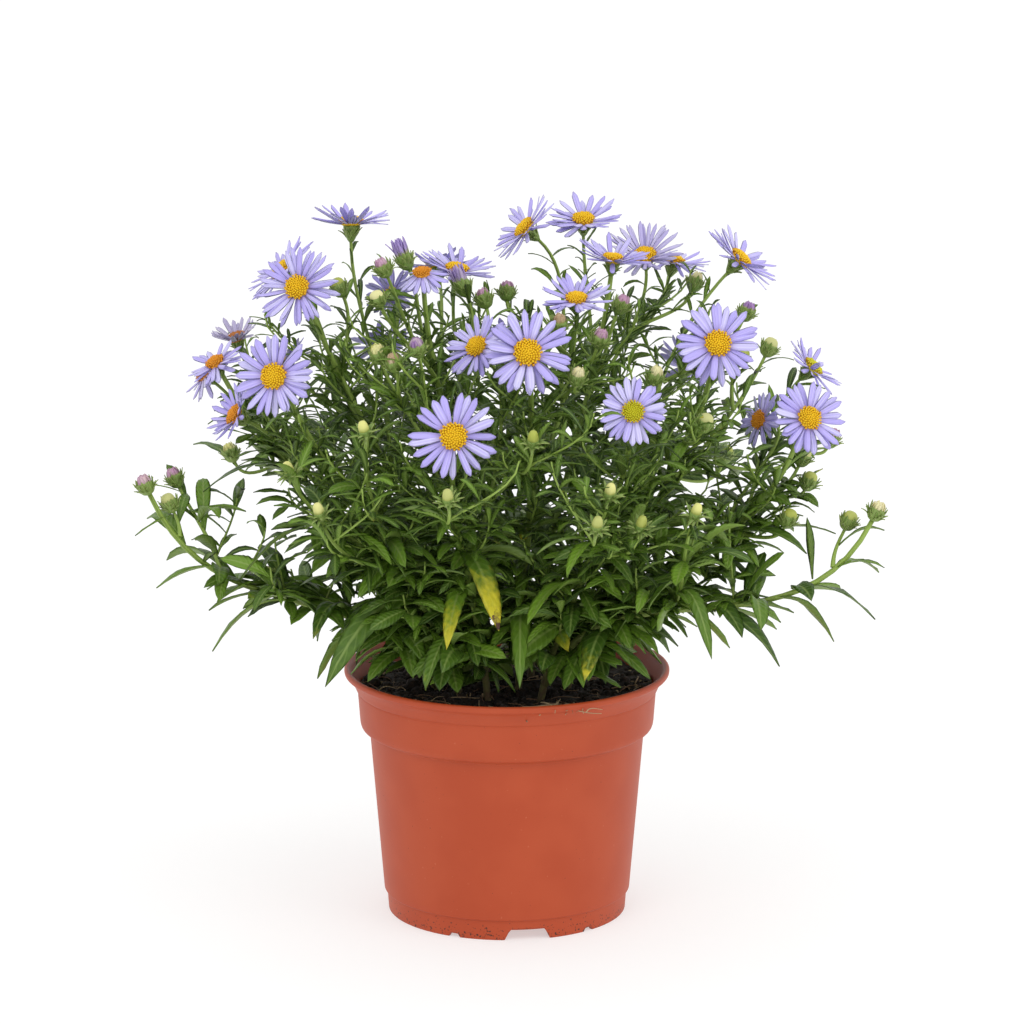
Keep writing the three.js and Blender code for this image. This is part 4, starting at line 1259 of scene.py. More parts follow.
@dataclass(frozen=True)
class RootFibre:
    """Dry root fibres and wood chips in the peat: pale straw to brown, matte."""

    pale: str = "B09A78"
    dark: str = "6A4E38"
    grain: float = 0.4

    def material(self) -> bpy.types.Material:
        """Makes the finish.

        Returns:
            The material.
        """
        paint = Paint("root_fibre", {"Roughness": 0.85}, "tone")
        share = paint.mark["tone"]
        base = paint.add("Mix", COLOURS | {SHARE: share, FROM: self.dark, TO: self.pale}, MIXED)
        fine = paint.add("TexNoise", {"Vector": paint.place, "Scale": per_metre(self.grain)})
        return paint.finished(base, fine, 0.1)


@dataclass(frozen=True)
class LeafSkin:
    """A leaf's skin: a waxy mid green, a little mottled, with a paler midrib and side
    veins. A spoiled leaf turns yellow from its point, with dead brown blots. Sizes of the
    patterns are in millimetres; the veins turn so many radians along a leaf and slant by
    so many towards its edge."""

    deep: str = "375414"
    light: str = "6E9229"
    back: str = "7B9148"
    rib: str = "8DA258"
    yellow: str = "C3B92C"
    dead: str = "4B2C20"
    mottle: float = 3.0
    blot: float = 4.5
    vein_turn: float = 60.0
    vein_slant: float = 9.0

    def material(self) -> bpy.types.Material:
        """Makes the finish.

        Returns:
            The material.
        """
        settings = {"Roughness": 0.45, "Specular IOR Level": 0.35}
        paint = Paint("leaf_skin", settings, "along", "aside", "under", "tone", "spoiled")
        along, spoiled = paint.mark["along"], paint.mark["spoiled"]
        aside = paint.add("Math", {"operation": "ABSOLUTE", 0: paint.mark["aside"]})
        scale = per_metre(self.mottle)
        mottle = paint.add("TexNoise", {"Vector": paint.place, "Scale": scale, "Detail": 3.0})
        faint = paint.add("Math", TIMES | {0: mottle, 1: 0.5})
        shade = paint.add("Math", PLUS | {0: paint.mark["tone"], 1: faint})
        shade = paint.add("MapRange", EASED | {"Value": shade, "From Min": 0.15, "From Max": 1.4})
        skin = paint.add("Mix", COLOURS | {SHARE: shade, FROM: self.deep, TO: self.light}, MIXED)
        turn = paint.add("Math", TIMES | {0: along, 1: self.vein_turn})
        slant = paint.add("Math", TIMES | {0: aside, 1: self.vein_slant})
        wave = paint.add("Math", {"operation": "SUBTRACT", 0: turn, 1: slant})
        wave = paint.add("Math", {"operation": "SINE", 0: wave})
        wave = paint.add("Math", TIMES | {0: wave, 1: 0.5})
        veins = paint.add("MapRange", EASED | {"Value": wave, "From Min": 0.3, "From Max": 0.5})
        midrib = paint.add("MapRange", EASED | {"Value": aside, "From Min": 0.2, "From Max": 0.02})
        for cover, strength, colour in (
            (veins, 0.16, self.rib),
            (midrib, 0.6, self.rib),
            (paint.mark["under"], 0.6, self.back),
        ):
            share = paint.add("Math", TIMES | {0: cover, 1: strength})
            skin = paint.add("Mix", COLOURS | {SHARE: share, FROM: skin, TO: colour}, MIXED)
        reach = paint.add("Math", TIMES | {0: along, 1: 0.8})
        for more in (faint, spoiled):
            reach = paint.add("Math", PLUS | {0: reach, 1: more})
        has = paint.add("MapRange", EASED | {"Value": spoiled, "From Min": 0.02, "From Max": 0.06})
        yellow = paint.add("MapRange", EASED | {"Value": reach, "From Min": 1.15, "From Max": 1.5})
        point = paint.add("MapRange", EASED | {"Value": reach, "From Min": 1.45, "From Max": 1.6})
        blots = paint.add("TexNoise", {"Vector": paint.place, "Scale": per_metre(self.blot)})
        blots = paint.add("MapRange", EASED | {"Value": blots, "From Min": 0.56, "From Max": 0.6})
        dead = paint.add("Math", TIMES | {0: blots, 1: point})
        for cover, colour in ((yellow, self.yellow), (dead, self.dead)):
            share = paint.add("Math", TIMES | {0: cover, 1: has})
            skin = paint.add("Mix", COLOURS | {SHARE: share, FROM: skin, TO: colour}, MIXED)
        return paint.finished(skin, paint.add("Math", PLUS | {0: wave, 1: mottle}), 0.12)


@dataclass(frozen=True)
class StalkBark:
    """Stalks: woody and brown-purple low down, green and lightly ridged above. They turn
    green between two heights in metres."""

    woody: str = "5A4438"
    green: str = "8CA648"
    turns_green: tuple[float, float] = (0.1, 0.19)
    mottle: float = 2.5
    ridges: float = 30.0

    def material(self) -> bpy.types.Material:
        """Makes the finish.

        Returns:
            The material.
        """
        paint = Paint("stalk_bark", {"Roughness": 0.55}, "aside")
        mottle = paint.add("TexNoise", {"Vector": paint.place, "Scale": per_metre(self.mottle)})
        mottle = paint.add("Math", TIMES | {0: mottle, 1: 0.05})
        height = paint.add("SeparateXYZ", {0: paint.place}, "Z")
        height = paint.add("Math", PLUS | {0: height, 1: mottle})
        low, high = self.turns_green
        share = paint.add("MapRange", EASED | {"Value": height, "From Min": low, "From Max": high})
        base = paint.add("Mix", COLOURS | {SHARE: share, FROM: self.woody, TO: self.green}, MIXED)
        ridges = paint.add("Math", TIMES | {0: paint.mark["aside"], 1: self.ridges})
        return paint.finished(base, paint.add("Math", {"operation": "SINE", 0: ridges}), 0.06)


@dataclass(frozen=True)
class BractSkin:
    """The bracts of the green cup: leafy green with a paler margin and a dark point."""

    green: str = "6D8A3A"
    margin: str = "A9B86C"
    tip: str = "6A5A3C"

    def material(self) -> bpy.types.Material:
        """Makes the finish.

        Returns:
            The material.
        """
        paint = Paint("bract_skin", {"Roughness": 0.55}, "along", "aside", "tone")
        along, aside = paint.mark["along"], paint.mark["aside"]
        aside = paint.add("Math", {"operation": "ABSOLUTE", 0: aside})
        edge = paint.add("MapRange", EASED | {"Value": aside, "From Min": 0.4, "From Max": 1.0})
        tone = paint.add("Math", TIMES | {0: paint.mark["tone"], 1: 0.3})
        edge = paint.add("Math", PLUS | {0: edge, 1: tone})
        base = paint.add("Mix", COLOURS | {SHARE: edge, FROM: self.green, TO: self.margin}, MIXED)
        point = paint.add("MapRange", EASED | {"Value": along, "From Min": 0.88, "From Max": 1.0})
        point = paint.add("Math", TIMES | {0: point, 1: 0.6})
        mixed = paint.add("Mix", COLOURS | {SHARE: point, FROM: base, TO: self.tip}, MIXED)
        return paint.finished(mixed)


@dataclass(frozen=True)
class RayPetal:
    """Ray florets: thin violet petals, velvety, with two fine grooves along each, and
    painted shade that darkens each ray towards its base by the disc. A fading one goes grey and pale."""

    violet: str = "B4A9EF"
    pale: str = "D2CDF8"
    # Painted shade: the darker violet laid on the inner part of each ray, next to the disc.
    deep: str = "8F80D6"
    faded: str = "C9C2CE"
    grooves: float = 7.5

    def material(self) -> bpy.types.Material:
        """Makes the finish.

        Returns:
            The material.
        """
        settings = {"Roughness": 0.5, "Sheen Weight": 0.15}
        paint = Paint("ray_petal", settings, "along", "aside", "tone", "fade")
        along, aside = paint.mark["along"], paint.mark["aside"]
        grooves = paint.add("Math", TIMES | {0: aside, 1: self.grooves})
        grooves = paint.add("Math", {"operation": "SINE", 0: grooves})
        faint = paint.add("Math", TIMES | {0: grooves, 1: 0.2})
        tone = paint.add("Math", PLUS | {0: paint.mark["tone"], 1: faint})
        tone = paint.add("MapRange", EASED | {"Value": tone, "From Min": 0.2, "From Max": 1.1})
        base = paint.add("Mix", COLOURS | {SHARE: tone, FROM: self.violet, TO: self.pale}, MIXED)
        # Painted shade: each ray darkens towards its foot by the disc, up to half way to the deep
        # colour.
        foot = paint.add("MapRange", EASED | {"Value": along, "From Min": 0.45, "From Max": 0.0})
        foot = paint.add("Math", TIMES | {0: foot, 1: 0.5})
        for share, colour in ((foot, self.deep), (paint.mark["fade"], self.faded)):
            base = paint.add("Mix", COLOURS | {SHARE: share, FROM: base, TO: colour}, MIXED)
        return paint.finished(base, grooves, 0.08)


@dataclass(frozen=True)
class DiscPollen:
    """Disc florets: tiny tubes full of pollen, yellow on top with painted shade, a deeper orange,
    at their feet between them, and more orange near the edge of the disc."""

    age: Age
    # Painted shade: the deeper orange of the crevices between the florets, at their feet.
    crevice_shade: str = "CC8A0C"
    edge: str = "DD8A14"
    grain: float = 0.3

    def material(self) -> bpy.types.Material:
        """Makes the finish.

        Returns:
            The material.
        """
        name = "disc_pollen_" + self.age.name.lower()
        paint = Paint(name, {"Roughness": 0.7}, "along", "tone")
        along, outer = paint.mark["along"], paint.mark["tone"]
        outer = paint.add("MapRange", EASED | {"Value": outer, "From Min": 0.7, "From Max": 1.0})
        outer = paint.add("Math", TIMES | {0: outer, 1: 0.6})
        top = paint.add("Mix", COLOURS | {SHARE: outer, FROM: self.age.value, TO: self.edge}, MIXED)
        # Painted shade: each floret darkens from its top down to its foot, between the florets.
        share = paint.add("MapRange", EASED | {"Value": along, "From Min": 0.0, "From Max": 0.6})
        base = paint.add("Mix", COLOURS | {SHARE: share, FROM: self.crevice_shade, TO: top}, MIXED)
        fine = paint.add("TexNoise", {"Vector": paint.place, "Scale": per_metre(self.grain)})
        return paint.finished(base, fine, 0.1)


@dataclass(frozen=True)
class YoungTip:
    """Young rays or florets that close the tip of a head, in one tint, green at the base."""

    tint: Tint
    base: str = "A3AC52"
    pale: str = "E6DDC0"

    def material(self) -> bpy.types.Material:
        """Makes the finish.

        Returns:
            The material.
        """
        name = "young_tip_" + self.tint.name.lower()
        paint = Paint(name, {"Roughness": 0.55}, "along", "tone")
        tone = paint.mark["tone"]
        light = paint.add("MapRange", EASED | {"Value": tone, "From Min": 0.3, "From Max": 1.1})
        light = paint.add("Math", TIMES | {0: light, 1: 0.35})
        tip = paint.add("Mix", COLOURS | {SHARE: light, FROM: self.tint.value, TO: self.pale}, MIXED)
        stray = paint.add("Math", TIMES | {0: tone, 1: 0.2})
        along = paint.add("Math", PLUS | {0: paint.mark["along"], 1: stray})
        share = paint.add("MapRange", EASED | {"Value": along, "From Min": 0.05, "From Max": 0.5})
        mixed = paint.add("Mix", COLOURS | {SHARE: share, FROM: self.base, TO: tip}, MIXED)
        return paint.finished(mixed)


def rounded(outline: list[tuple[float, float, float]], steps: int = 5) -> Array:
    """An open outline whose corners are rounded: each corner becomes a parabola between
    the points that lie its radius before and after it.

    Args:
        outline: radius, height and rounding of each corner.
        steps: points in each rounding.
    Returns:
        (points, 2) radii and heights.
    """
    corners = np.array(outline)
    at, ease = corners[:, :2], corners[1:-1, 2:]
    gaps = np.diff(at, axis=0)
    length = np.linalg.norm(gaps, axis=1, keepdims=True)
    before = at[1:-1] - gaps[:-1] * np.minimum(ease / length[:-1], 0.49)
    after = at[1:-1] + gaps[1:] * np.minimum(ease / length[1:], 0.49)
    arcs = bezier(np.stack([before, at[1:-1], after], 1), np.linspace(0, 1, steps))
    return np.concatenate([at[:1], arcs.reshape(-1, 2), at[-1:]])


def subdivided(outline: Array, step: float) -> Array:
    """The outline with points added so that none are further apart than a step.

    Args:
        outline: (points, 2) radii and heights.
        step: the largest distance between neighbours.
    Returns:
        (points, 2) radii and heights.
    """
    parts = [
        np.linspace(a, b, max(2, math.ceil(np.linalg.norm(b - a) / step) + 1))[:-1]
        for a, b in zip(outline[:-1], outline[1:])
    ]
    return np.concatenate([*parts, outline[-1:]])


def lathe_rings(outline: Array, around: int) -> Array:
    """One body turned about the Z axis: radius times a turning unit vector, at each height.

    Args:
        outline: (stations, 2) radii and heights.
        around: points in each ring.
    Returns:
        (1, stations, around, 3) points.
    """
    turn = np.arange(around) * math.tau / around
    x, y = outline[:, :1] * np.cos(turn), outline[:, :1] * np.sin(turn)
    return np.stack([x, y, outline[:, 1:] + 0 * x], -1)[None]


@dataclass(frozen=True)
class Cut:
    """A cut in the foot ring: its turn in degrees from the viewer, its widths at the table
    and at its top, and its height."""

    at: float
    width: float
    top: float
    height: float


@dataclass
class NurseryPot:
    """The thin-walled pot, turned from its outline, with cuts in its foot ring and recesses
    for its drain holes: their number, the radius of their circle and their own."""

    around: int = 360
    cuts: tuple[Cut, ...] = (Cut(10, 18, 14, 4.4), Cut(-26, 3.3, 3.3, 1.6), Cut(43, 3.3, 3.3, 1.6))
    cut_edge: float = 0.2
    ring_radius: float = 45.0
    base: float = 5.0
    step: float = 4.0
    base_step: float = 1.2
    drains: tuple[int, float, float] = (4, 26, 4.5)
    drained_to: float = 6.6

    def outline(self) -> Array:
        """The wall from the middle of the underside, up outside, over the lip and down.

        Returns:
            (points, 2) radii and heights.
        """
        corners = [
            (0.4, 5, 0),
            (45.6, 5, 0.6),
            (45.6, 0, 0.4),
            (47.6, 0, 0.5),
            (48.0, 5.6, 0.2),
            (48.15, 8, 0.3),
            (49.3, 8.6, 0.5),
            (54.9, 74.4, 0.8),
            (58.2, 75.7, 1.2),
            (58.7, 78, 0.8),
            (59.6, 89.9, 0.3),
            (59.45, 90.5, 0.2),
            (60.2, 91.2, 0.4),
            (61.2, 93.6, 1.2),
            (63.0, 96.2, 1.0),
            (64.9, 97.4, 0.8),
            (65.0, 99.2, 0.7),
            (63.8, 100, 0.7),
            (62.4, 99, 0.8),
            (58.4, 91, 1.5),
            (56.9, 77, 1.0),
            (53.7, 74.6, 1.0),
            (46.5, 7, 1.0),
            (0.4, 7, 0),
        ]
        points = rounded(corners)
        base = subdivided(points[:2], self.base_step)
        return np.concatenate([base, subdivided(points[1:], self.step)[1:]])

    def drained(self, rings: Array) -> Array:
        """Where the underside lies in a drain hole, through which the peat shows.

        Args:
            rings: the wall's points.
        Returns:
            True at each point that does.
        """
        count, ring, radius = self.drains
        turn = (np.arange(count) + 0.5) * math.tau / count
        holes = ring * np.stack([np.cos(turn), np.sin(turn)], -1)
        from_hole = np.linalg.norm(rings[..., None, :2] - holes, axis=-1).min(-1)
        return (from_hole < radius) & (rings[..., 2] < self.base + 0.1)

    def rings(self) -> Array:
        """The turned wall, its foot raised wherever a cut crosses it: the cut's height
        falls from full to nothing between its top and bottom widths.

        Returns:
            (1, stations, around, 3) points.
        """
        rings = lathe_rings(self.outline(), self.around)
        x, y, z = (rings[..., i].copy() for i in range(3))
        turn = np.degrees(np.arctan2(x, -y))
        foot = (np.hypot(x, y) > self.ring_radius) & (z < self.base)
        for cut in self.cuts:
            aside = abs(np.radians(turn - cut.at) * np.hypot(x, y))
            run = (cut.width - cut.top) / 2 + self.cut_edge
            slope = np.clip((cut.width / 2 - aside + self.cut_edge) / run, 0, 1)
            z = np.where(foot, np.maximum(z, cut.height * slope), z)
        rings[..., 2] = z
        return rings

    def build(self) -> None:
        """Makes the pot."""
        shell = Sweeps()
        rings = self.rings()
        drained = self.drained(rings)
        rings[..., 2] = np.where(drained, self.drained_to, rings[..., 2])
        shell.add(rings, drain=drained * 1.0)
        shell.piece("pot_shell", MouldedPolypropylene().material(), "pot_plastic", "pot")


@dataclass
class PeatBed:
    """The peat: a rough surface under the rim, with crumbs, fibres and a root clump."""

    top: float = 92.0
    radius: float = 58.3
    side: tuple[tuple[float, float], ...] = ((0.4, 7.35), (46.1, 7.35), (53.3, 74.6), (56.5, 77))
    edge: float = 91.0
    around: int = 240
    surface_rings: int = 60
    waves: tuple[float, ...] = (8, 6, 5, 4, 3.4, 2.8, 2.3, 1.9)
    steepness: float = 0.05
    crumbs: int = 1000
    chips: int = 60
    fibres: int = 150
    clump_fibres: int = 26
    clump: Point = (22.0, -56.0, 97.0)
    clump_size: Point = (5, 1.2, 1.2)
    seed: int = 5

    def height(self, x: Array, y: Array) -> Array:
        """The surface: the part's crossing swells, and finer crossing waves.

        Args:
            x: places to the right.
            y: places away from the viewer.
        Returns:
            Its height at each place.
        """
        swell = np.sin(x / 9 + 1) * np.cos(y / 11) + 0.5 * np.sin((x - y) / 5.5)
        rng = np.random.default_rng(self.seed)
        for length in self.waves:
            turn, phase = rng.uniform(0, math.tau, 2)
            along = x * math.cos(turn) + y * math.sin(turn)
            beside = y * math.cos(turn) - x * math.sin(turn)
            ridges = np.sin(along * math.tau / length + phase)
            swell = swell + self.steepness * length * ridges * np.cos(beside * 4 / length)
        return self.top + swell

    def bed(self, material: bpy.types.Material) -> None:
        """Makes the surface with the hidden block under it, turned from the outline of the
        pot's inside and lifted to the surface's height.

        Args:
            material: the peat's finish.
        """
        side = [*self.side, (self.radius, self.edge)]
        inward = np.linspace(self.radius - 0.2, self.side[0][0], self.surface_rings)
        surface = [(radius, self.top) for radius in inward]
        rings = lathe_rings(np.array([*side, *surface]), self.around)
        upper = rings[:, len(side) :]
        upper[..., 2] = self.height(upper[..., 0], upper[..., 1])
        bed = Sweeps()
        bed.add(rings)
        bed.piece("peat_bed", material, "peat_soil", "soil")

    def scattered(self, rng: np.random.Generator, count: int, outer: float) -> Array:
        """Points spread evenly over the surface.

        Args:
            rng: random numbers.
            count: their number.
            outer: radius of the disc that they lie in.
        Returns:
            (count, 3) points.
        """
        radius, turn = outer * np.sqrt(rng.uniform(0, 1, count)), rng.uniform(0, math.tau, count)
        x, y = radius * np.cos(turn), radius * np.sin(turn)
        return np.stack([x, y, self.height(x, y)], -1)

    def lumps(self, rng: np.random.Generator, at: Array, size: Array) -> Array:
        """Rough crumbs: balls whose corners are moved in or out.

        Args:
            rng: random numbers.
            at: (crumbs, 3) middles.
            size: (crumbs,) radii.
        Returns:
            (crumbs, 5, 6, 3) points.
        """
        count = len(at)
        cap = 0.25
        polar = np.linspace(cap, math.pi - cap, 5)
        axis = unit(rng.normal(size=(count, 3)) + Z_UP)
        line = at[:, None] - axis[:, None] * (np.cos(polar) * size[:, None])[..., None]
        side, up = tube_frames(line, np.repeat(axis[:, None], 5, 1))
        rough = rng.uniform(0.7, 1.3, (count, 5, 6))
        radius = np.sin(polar)[None, :, None] * size[:, None, None] * rough
        return round_rings(line, side, up, radius, 6)

    def strands(self, rng: np.random.Generator, at: Array, length: Array, hang: Array) -> Array:
        """Thin fibres: cubic curves that lie along the surface with loose ends.

        Args:
            rng: random numbers.
            at: (fibres, 3) middles.
            length: (fibres,) lengths.
            hang: (fibres, 3) vectors added to their ways.
        Returns:
            (fibres, 8, 5, 3) points.
        """
        count = len(at)
        turn = rng.uniform(0, math.tau, count)
        way = np.stack([np.cos(turn), np.sin(turn), 0 * turn], -1) + hang
        stray = rng.normal(size=(count, 4, 3)) * (1, 1, 0.5) * length[:, None, None] * 0.14
        steps = np.arange(4)[None, :, None] / 3 - 0.5
        controls = at[:, None] + way[:, None] * steps * length[:, None, None] + stray
        controls[:, 1:3, 2] += 0.8
        shares = np.linspace(0, 1, 8)
        middle, tangent = bezier(controls, shares), slopes(controls, shares)
        side, up = tube_frames(middle, tangent)
        radius = rng.uniform(0.13, 0.3, (count, 1)) * np.linspace(1.1, 0.5, 8)
        return round_rings(middle, side, up, radius, 5)

    def build(self) -> None:
        """Makes the bed, its crumbs and its fibres."""
        rng = np.random.default_rng(self.seed)
        peat = DampPeat().material()
        self.bed(peat)
        crumbs = Sweeps()
        at = self.scattered(rng, self.crumbs, self.radius - 1.5)
        crumbs.add(self.lumps(rng, at, rng.gamma(4, 0.28, self.crumbs)))
        crumbs.piece("peat_crumbs", peat, "peat_soil")
        fibres = Sweeps()
        at = self.scattered(rng, self.fibres, self.radius - 3) + Z_UP * 0.9
        tone = rng.uniform(0, 1, (self.fibres, 1, 1)) ** 2
        fibres.add(self.strands(rng, at, rng.uniform(4, 15, self.fibres), 0 * at), tone=tone)
        count = self.chips
        chips = self.scattered(rng, count, self.radius - 2) + Z_UP * 0.5
        chips = self.lumps(rng, chips, rng.uniform(0.4, 1.0, count))
        fibres.add(chips, tone=rng.uniform(0.3, 1.4, (count, 1, 1)))
        count = self.clump_fibres
        clump = np.array(self.clump) + rng.normal(size=(count, 3)) * self.clump_size
        hang = np.array((0.2, -0.6, 0.0)) * rng.uniform(0, 1, (count, 1))
        clump = self.strands(rng, clump, rng.uniform(5, 13, count), hang)
        fibres.add(clump, tone=rng.uniform(0.4, 1, (count, 1, 1)))
        fibres.piece("peat_fibres", RootFibre().material(), "peat_soil")


@dataclass
class Stalks:
    """The stalks of one stem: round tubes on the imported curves, swollen where each shoot
    leaves its parent, and thinner ones on the twigs. Each pair holds the radii at the foot
    and at the tip."""

    main: tuple[float, float] = (1.5, 0.95)
    side: tuple[float, float] = (0.85, 0.65)
    twig: tuple[float, float] = (0.55, 0.35)
    swelling: float = 0.3
    swollen_length: float = 2.5
    stations: int = 22
    around: int = 8
    twig_stations: int = 7
    twig_around: int = 5

    def build(self, stem: GrownStem, material: bpy.types.Material) -> None:
        """Makes one piece of the stem's stalks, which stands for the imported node.

        Args:
            stem: the grown stem.
            material: the stalks' finish.
        """
        shares = np.linspace(0, 1, self.stations)
        tubes = Sweeps()
        for shoot in stem.shoots.values():
            foot, head = self.main if shoot.size is MAIN else self.side
            curve = shoot.curve.copy()
            if shoot.seat:
                curve[0] -= shoot.seat.normal * foot
            middle, tangent = bezier(curve, shares)[None], slopes(curve, shares)[None]
            side, up = tube_frames(middle, tangent)
            swell = self.swelling * np.exp(-shares * shoot.length / self.swollen_length)
            radius = mix(foot, head, shares) * (1 + swell)
            aside = np.arange(self.around) / self.around
            rings = round_rings(middle, side, up, radius[None], self.around)
            tubes.add(rings, along=shares[:, None], aside=aside)
        if stem.twigs:
            curves = np.array([twig.curve for twig in stem.twigs])
            shares = np.linspace(0, 1, self.twig_stations)
            middle, tangent = bezier(curves, shares), slopes(curves, shares)
            side, up = tube_frames(middle, tangent)
            radius = np.broadcast_to(mix(*self.twig, shares), middle.shape[:2])
            rings = round_rings(middle, side, up, radius, self.twig_around)
            tubes.add(rings, along=shares[:, None], aside=0)
        tubes.piece(stem.node + "_stalks", material, "leaf_green", stem.node)


@dataclass
class Foliage:
    """The leaves of one stem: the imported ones, and narrower ones added between them, on
    the shoots and on thin twigs.

    Args:
        rule: how the added leaves change with height.
        thick: thickness of a blade.
        main_spacing: length of a main shoot for each added leaf.
        side_spacing: length of a side shoot for each.
        twig_spacing: length of a twig for each.
        main_twigs: length of a main shoot for each twig.
        side_twigs: length of a side shoot for each.
        twig_from: shares of a shoot between which twigs leave it.
        twig_length: lengths of a twig.
        twig_lift: height that its tip gains by turning upward.
        twig_scale: size of its leaves against those of a shoot.
        broad_width: width past which a leaf has the broad section.
        broad_stations: rings along a broad leaf.
        narrow_stations: rings along a narrow one.
        reach: how far leaves reach to the side, to the back or front, and up.
        lowest: height of the lowest point.
        crown: how far twigs reach out, high and low on the plant.
        crown_heights: where that changes, and the height of the highest twig.
        low_branches: height under which few leaves grow far out.
        rim: radii inside and outside the pot's rim, and the height that clears it.
        peat: height that clears the peat.
        bloom_gap: heights under and over a bloom's rays that stay free.
        bud_gap: distance from the middle of another bud.
        spoiled: share of the lowest leaves that are spoiled.
        seed: what the first stem's random numbers start from.
    """

    rule: LeafRule = ADDED_LEAF
    thick: float = 0.4
    main_spacing: float = 3.7
    side_spacing: float = 4.4
    twig_spacing: float = 2.9
    main_twigs: float = 11.5
    side_twigs: float = 18.0
    twig_from: tuple[float, float] = (0.14, 0.78)
    twig_length: tuple[float, float] = (20, 38)
    twig_lift: float = 6
    twig_scale: float = 0.8
    broad_width: float = 4.5
    broad_stations: int = 9
    narrow_stations: int = 7
    reach: Point = (145, 117, 272)
    lowest: float = 99
    crown: tuple[float, float] = (114, 92)
    crown_heights: tuple[float, float] = (150, 250)
    low_branches: float = 195
    rim: tuple[float, float, float] = (57, 67, 102)
    peat: float = 96
    bloom_gap: tuple[float, float] = (-3, 16)
    bud_gap: float = 5
    spoiled: float = 0.03
    seed: int = 100

    def twigs(self, stem: GrownStem, rng: np.random.Generator) -> list[Twig]:
        """Thin twigs that leave the shoots between their own branches and turn upward.

        Args:
            stem: the grown stem.
            rng: random numbers.
        Returns:
            The twigs that stay clear.
        """
        twigs = []
        for shoot in stem.shoots.values():
            spacing = self.main_twigs if shoot.size is MAIN else self.side_twigs
            count = round(shoot.length / spacing)
            share = np.linspace(*self.twig_from, count)
            about, tangent = bezier(shoot.curve, share), slopes(shoot.curve, share)
            turn = np.arange(count) * GOLDEN_TURN + rng.uniform(0, math.tau)
            flat = np.stack([np.cos(turn), np.sin(turn), 0 * turn], -1) + 0.3 * unit(about * (1, 1, 0))
            way = unit(tangent * 0.5 + unit(flat) * rng.uniform(0.5, 1.1, (count, 1)) + Z_UP * 0.25)
            length = rng.uniform(*self.twig_length, (count, 1))
            tip = about + way * length + Z_UP * self.twig_lift
            curves = np.stack([about, about + way * length * 0.35, tip - Z_UP * length * 0.3, tip], 1)
            out, high = np.linalg.norm(tip[:, :2], axis=1), tip[:, 2]
            crown = out < np.where(high > self.crown_heights[0], *self.crown)
            clear = self.clear(about, tip, np.zeros(count), shoot.name)
            kept = clear & crown & (high < self.crown_heights[1])
            twigs += [Twig(curve, shoot) for curve in curves[kept]]
        return twigs

    def drawn(
        self,
        curve: Array,
        length: float,
        spacing: float,
        scale: float,
        own: str,
        rng: np.random.Generator,
    ) -> list[Leaf]:
        """Leaves along a curve: round it by the golden angle and outward, long and broad
        low on the plant, short and narrow near the blooms, and few on the low branches
        that reach past the others.

        Args:
            curve: (4, 3) control points.
            length: its length.
            spacing: length for each leaf.
            scale: size against the largest.
            own: the head that the shoot bears.
            rng: random numbers.
        Returns:
            The leaves that stay clear of the blooms, the pot and the peat.
        """
        count = max(2, round(length / spacing))
        share = np.linspace(0.05, 0.95, count) ** 1.2
        about, tangent = bezier(curve, share), slopes(curve, share)
        turn = np.arange(count) * GOLDEN_TURN + rng.uniform(0, math.tau) + rng.normal(0, 0.3, count)
        wish = np.stack([np.cos(turn), np.sin(turn), 0 * turn], -1)
        out = np.linalg.norm(about[:, :2], axis=1)
        flat = unit(wish + 0.4 * unit(about * (1, 1, 0)) + 0.35 * tangent * (1, 1, 0))
        rule = self.rule
        height = np.clip((about[:, 2] - rule.low) / rule.over, 0, 1)
        rise = np.radians(mix(*rule.rise, height) + rng.normal(0, 20, count))
        size = mix(*rule.length, height**0.8) * rng.uniform(0.6, 1.2, count) * scale
        width = size * mix(*rule.width, height**0.7) * rng.uniform(0.8, 1.2, count)
        way = flat * np.cos(rise)[:, None] + Z_UP * np.sin(rise)[:, None]
        arch = rng.uniform(0.03, 0.2, count)
        tip = about + way * size[:, None]
        chance = np.where(about[:, 2] < self.low_branches, np.clip(2.5 - out / 62, 0.3, 1), 1)
        kept = self.clear(about, tip, arch, own) & (rng.uniform(size=count) < chance)
        picked = rng.uniform(size=count) < self.spoiled * (1 - height)
        spoiled = np.where(picked, rng.uniform(0.1, 0.4, count), 0)
        rows = zip(about[kept], tip[kept], width[kept], arch[kept], spoiled[kept])
        return [Leaf(*row) for row in rows]

    def clear(self, root: Array, tip: Array, arch: Array, own: str) -> Array:
        """Whether leaves stay in the plant's box and out of the blooms, pot and peat.

        Args:
            root: (leaves, 3) roots.
            tip: (leaves, 3) tips.
            arch: (leaves,) arches.
            own: the head that their shoot bears.
        Returns:
            (leaves,) true where a leaf is clear.
        """
        at = bezier(arched(root, tip, arch), np.linspace(0.15, 1, 6))
        fits = (abs(tip) < self.reach).all(-1) & (tip[:, 2] > self.lowest)
        under, over = self.bloom_gap
        for bloom in BLOOMS.values():
            from_centre = at - np.array(bloom.at)
            ahead = dot(from_centre, bloom.axis)[..., 0]
            aside = np.linalg.norm(from_centre - ahead[..., None] * bloom.axis, axis=-1)
            above = ahead - aside * math.tan(math.radians(bloom.rise))
            hit = (above > under) & (above < over) & (aside < bloom.radius * 0.98)
            fits &= ~hit.any(-1)
        for name, bud in BUDS.items():
            if name != own:
                fits &= (np.linalg.norm(at - np.array(bud.at), axis=-1) > self.bud_gap).all(-1)
        out = np.hypot(at[..., 0], at[..., 1])
        inner, outer, top = self.rim
        fits &= ~((out > inner) & (out < outer) & (at[..., 2] < top)).any(-1)
        return fits & ~((out < inner) & (at[..., 2] < self.peat)).any(-1)

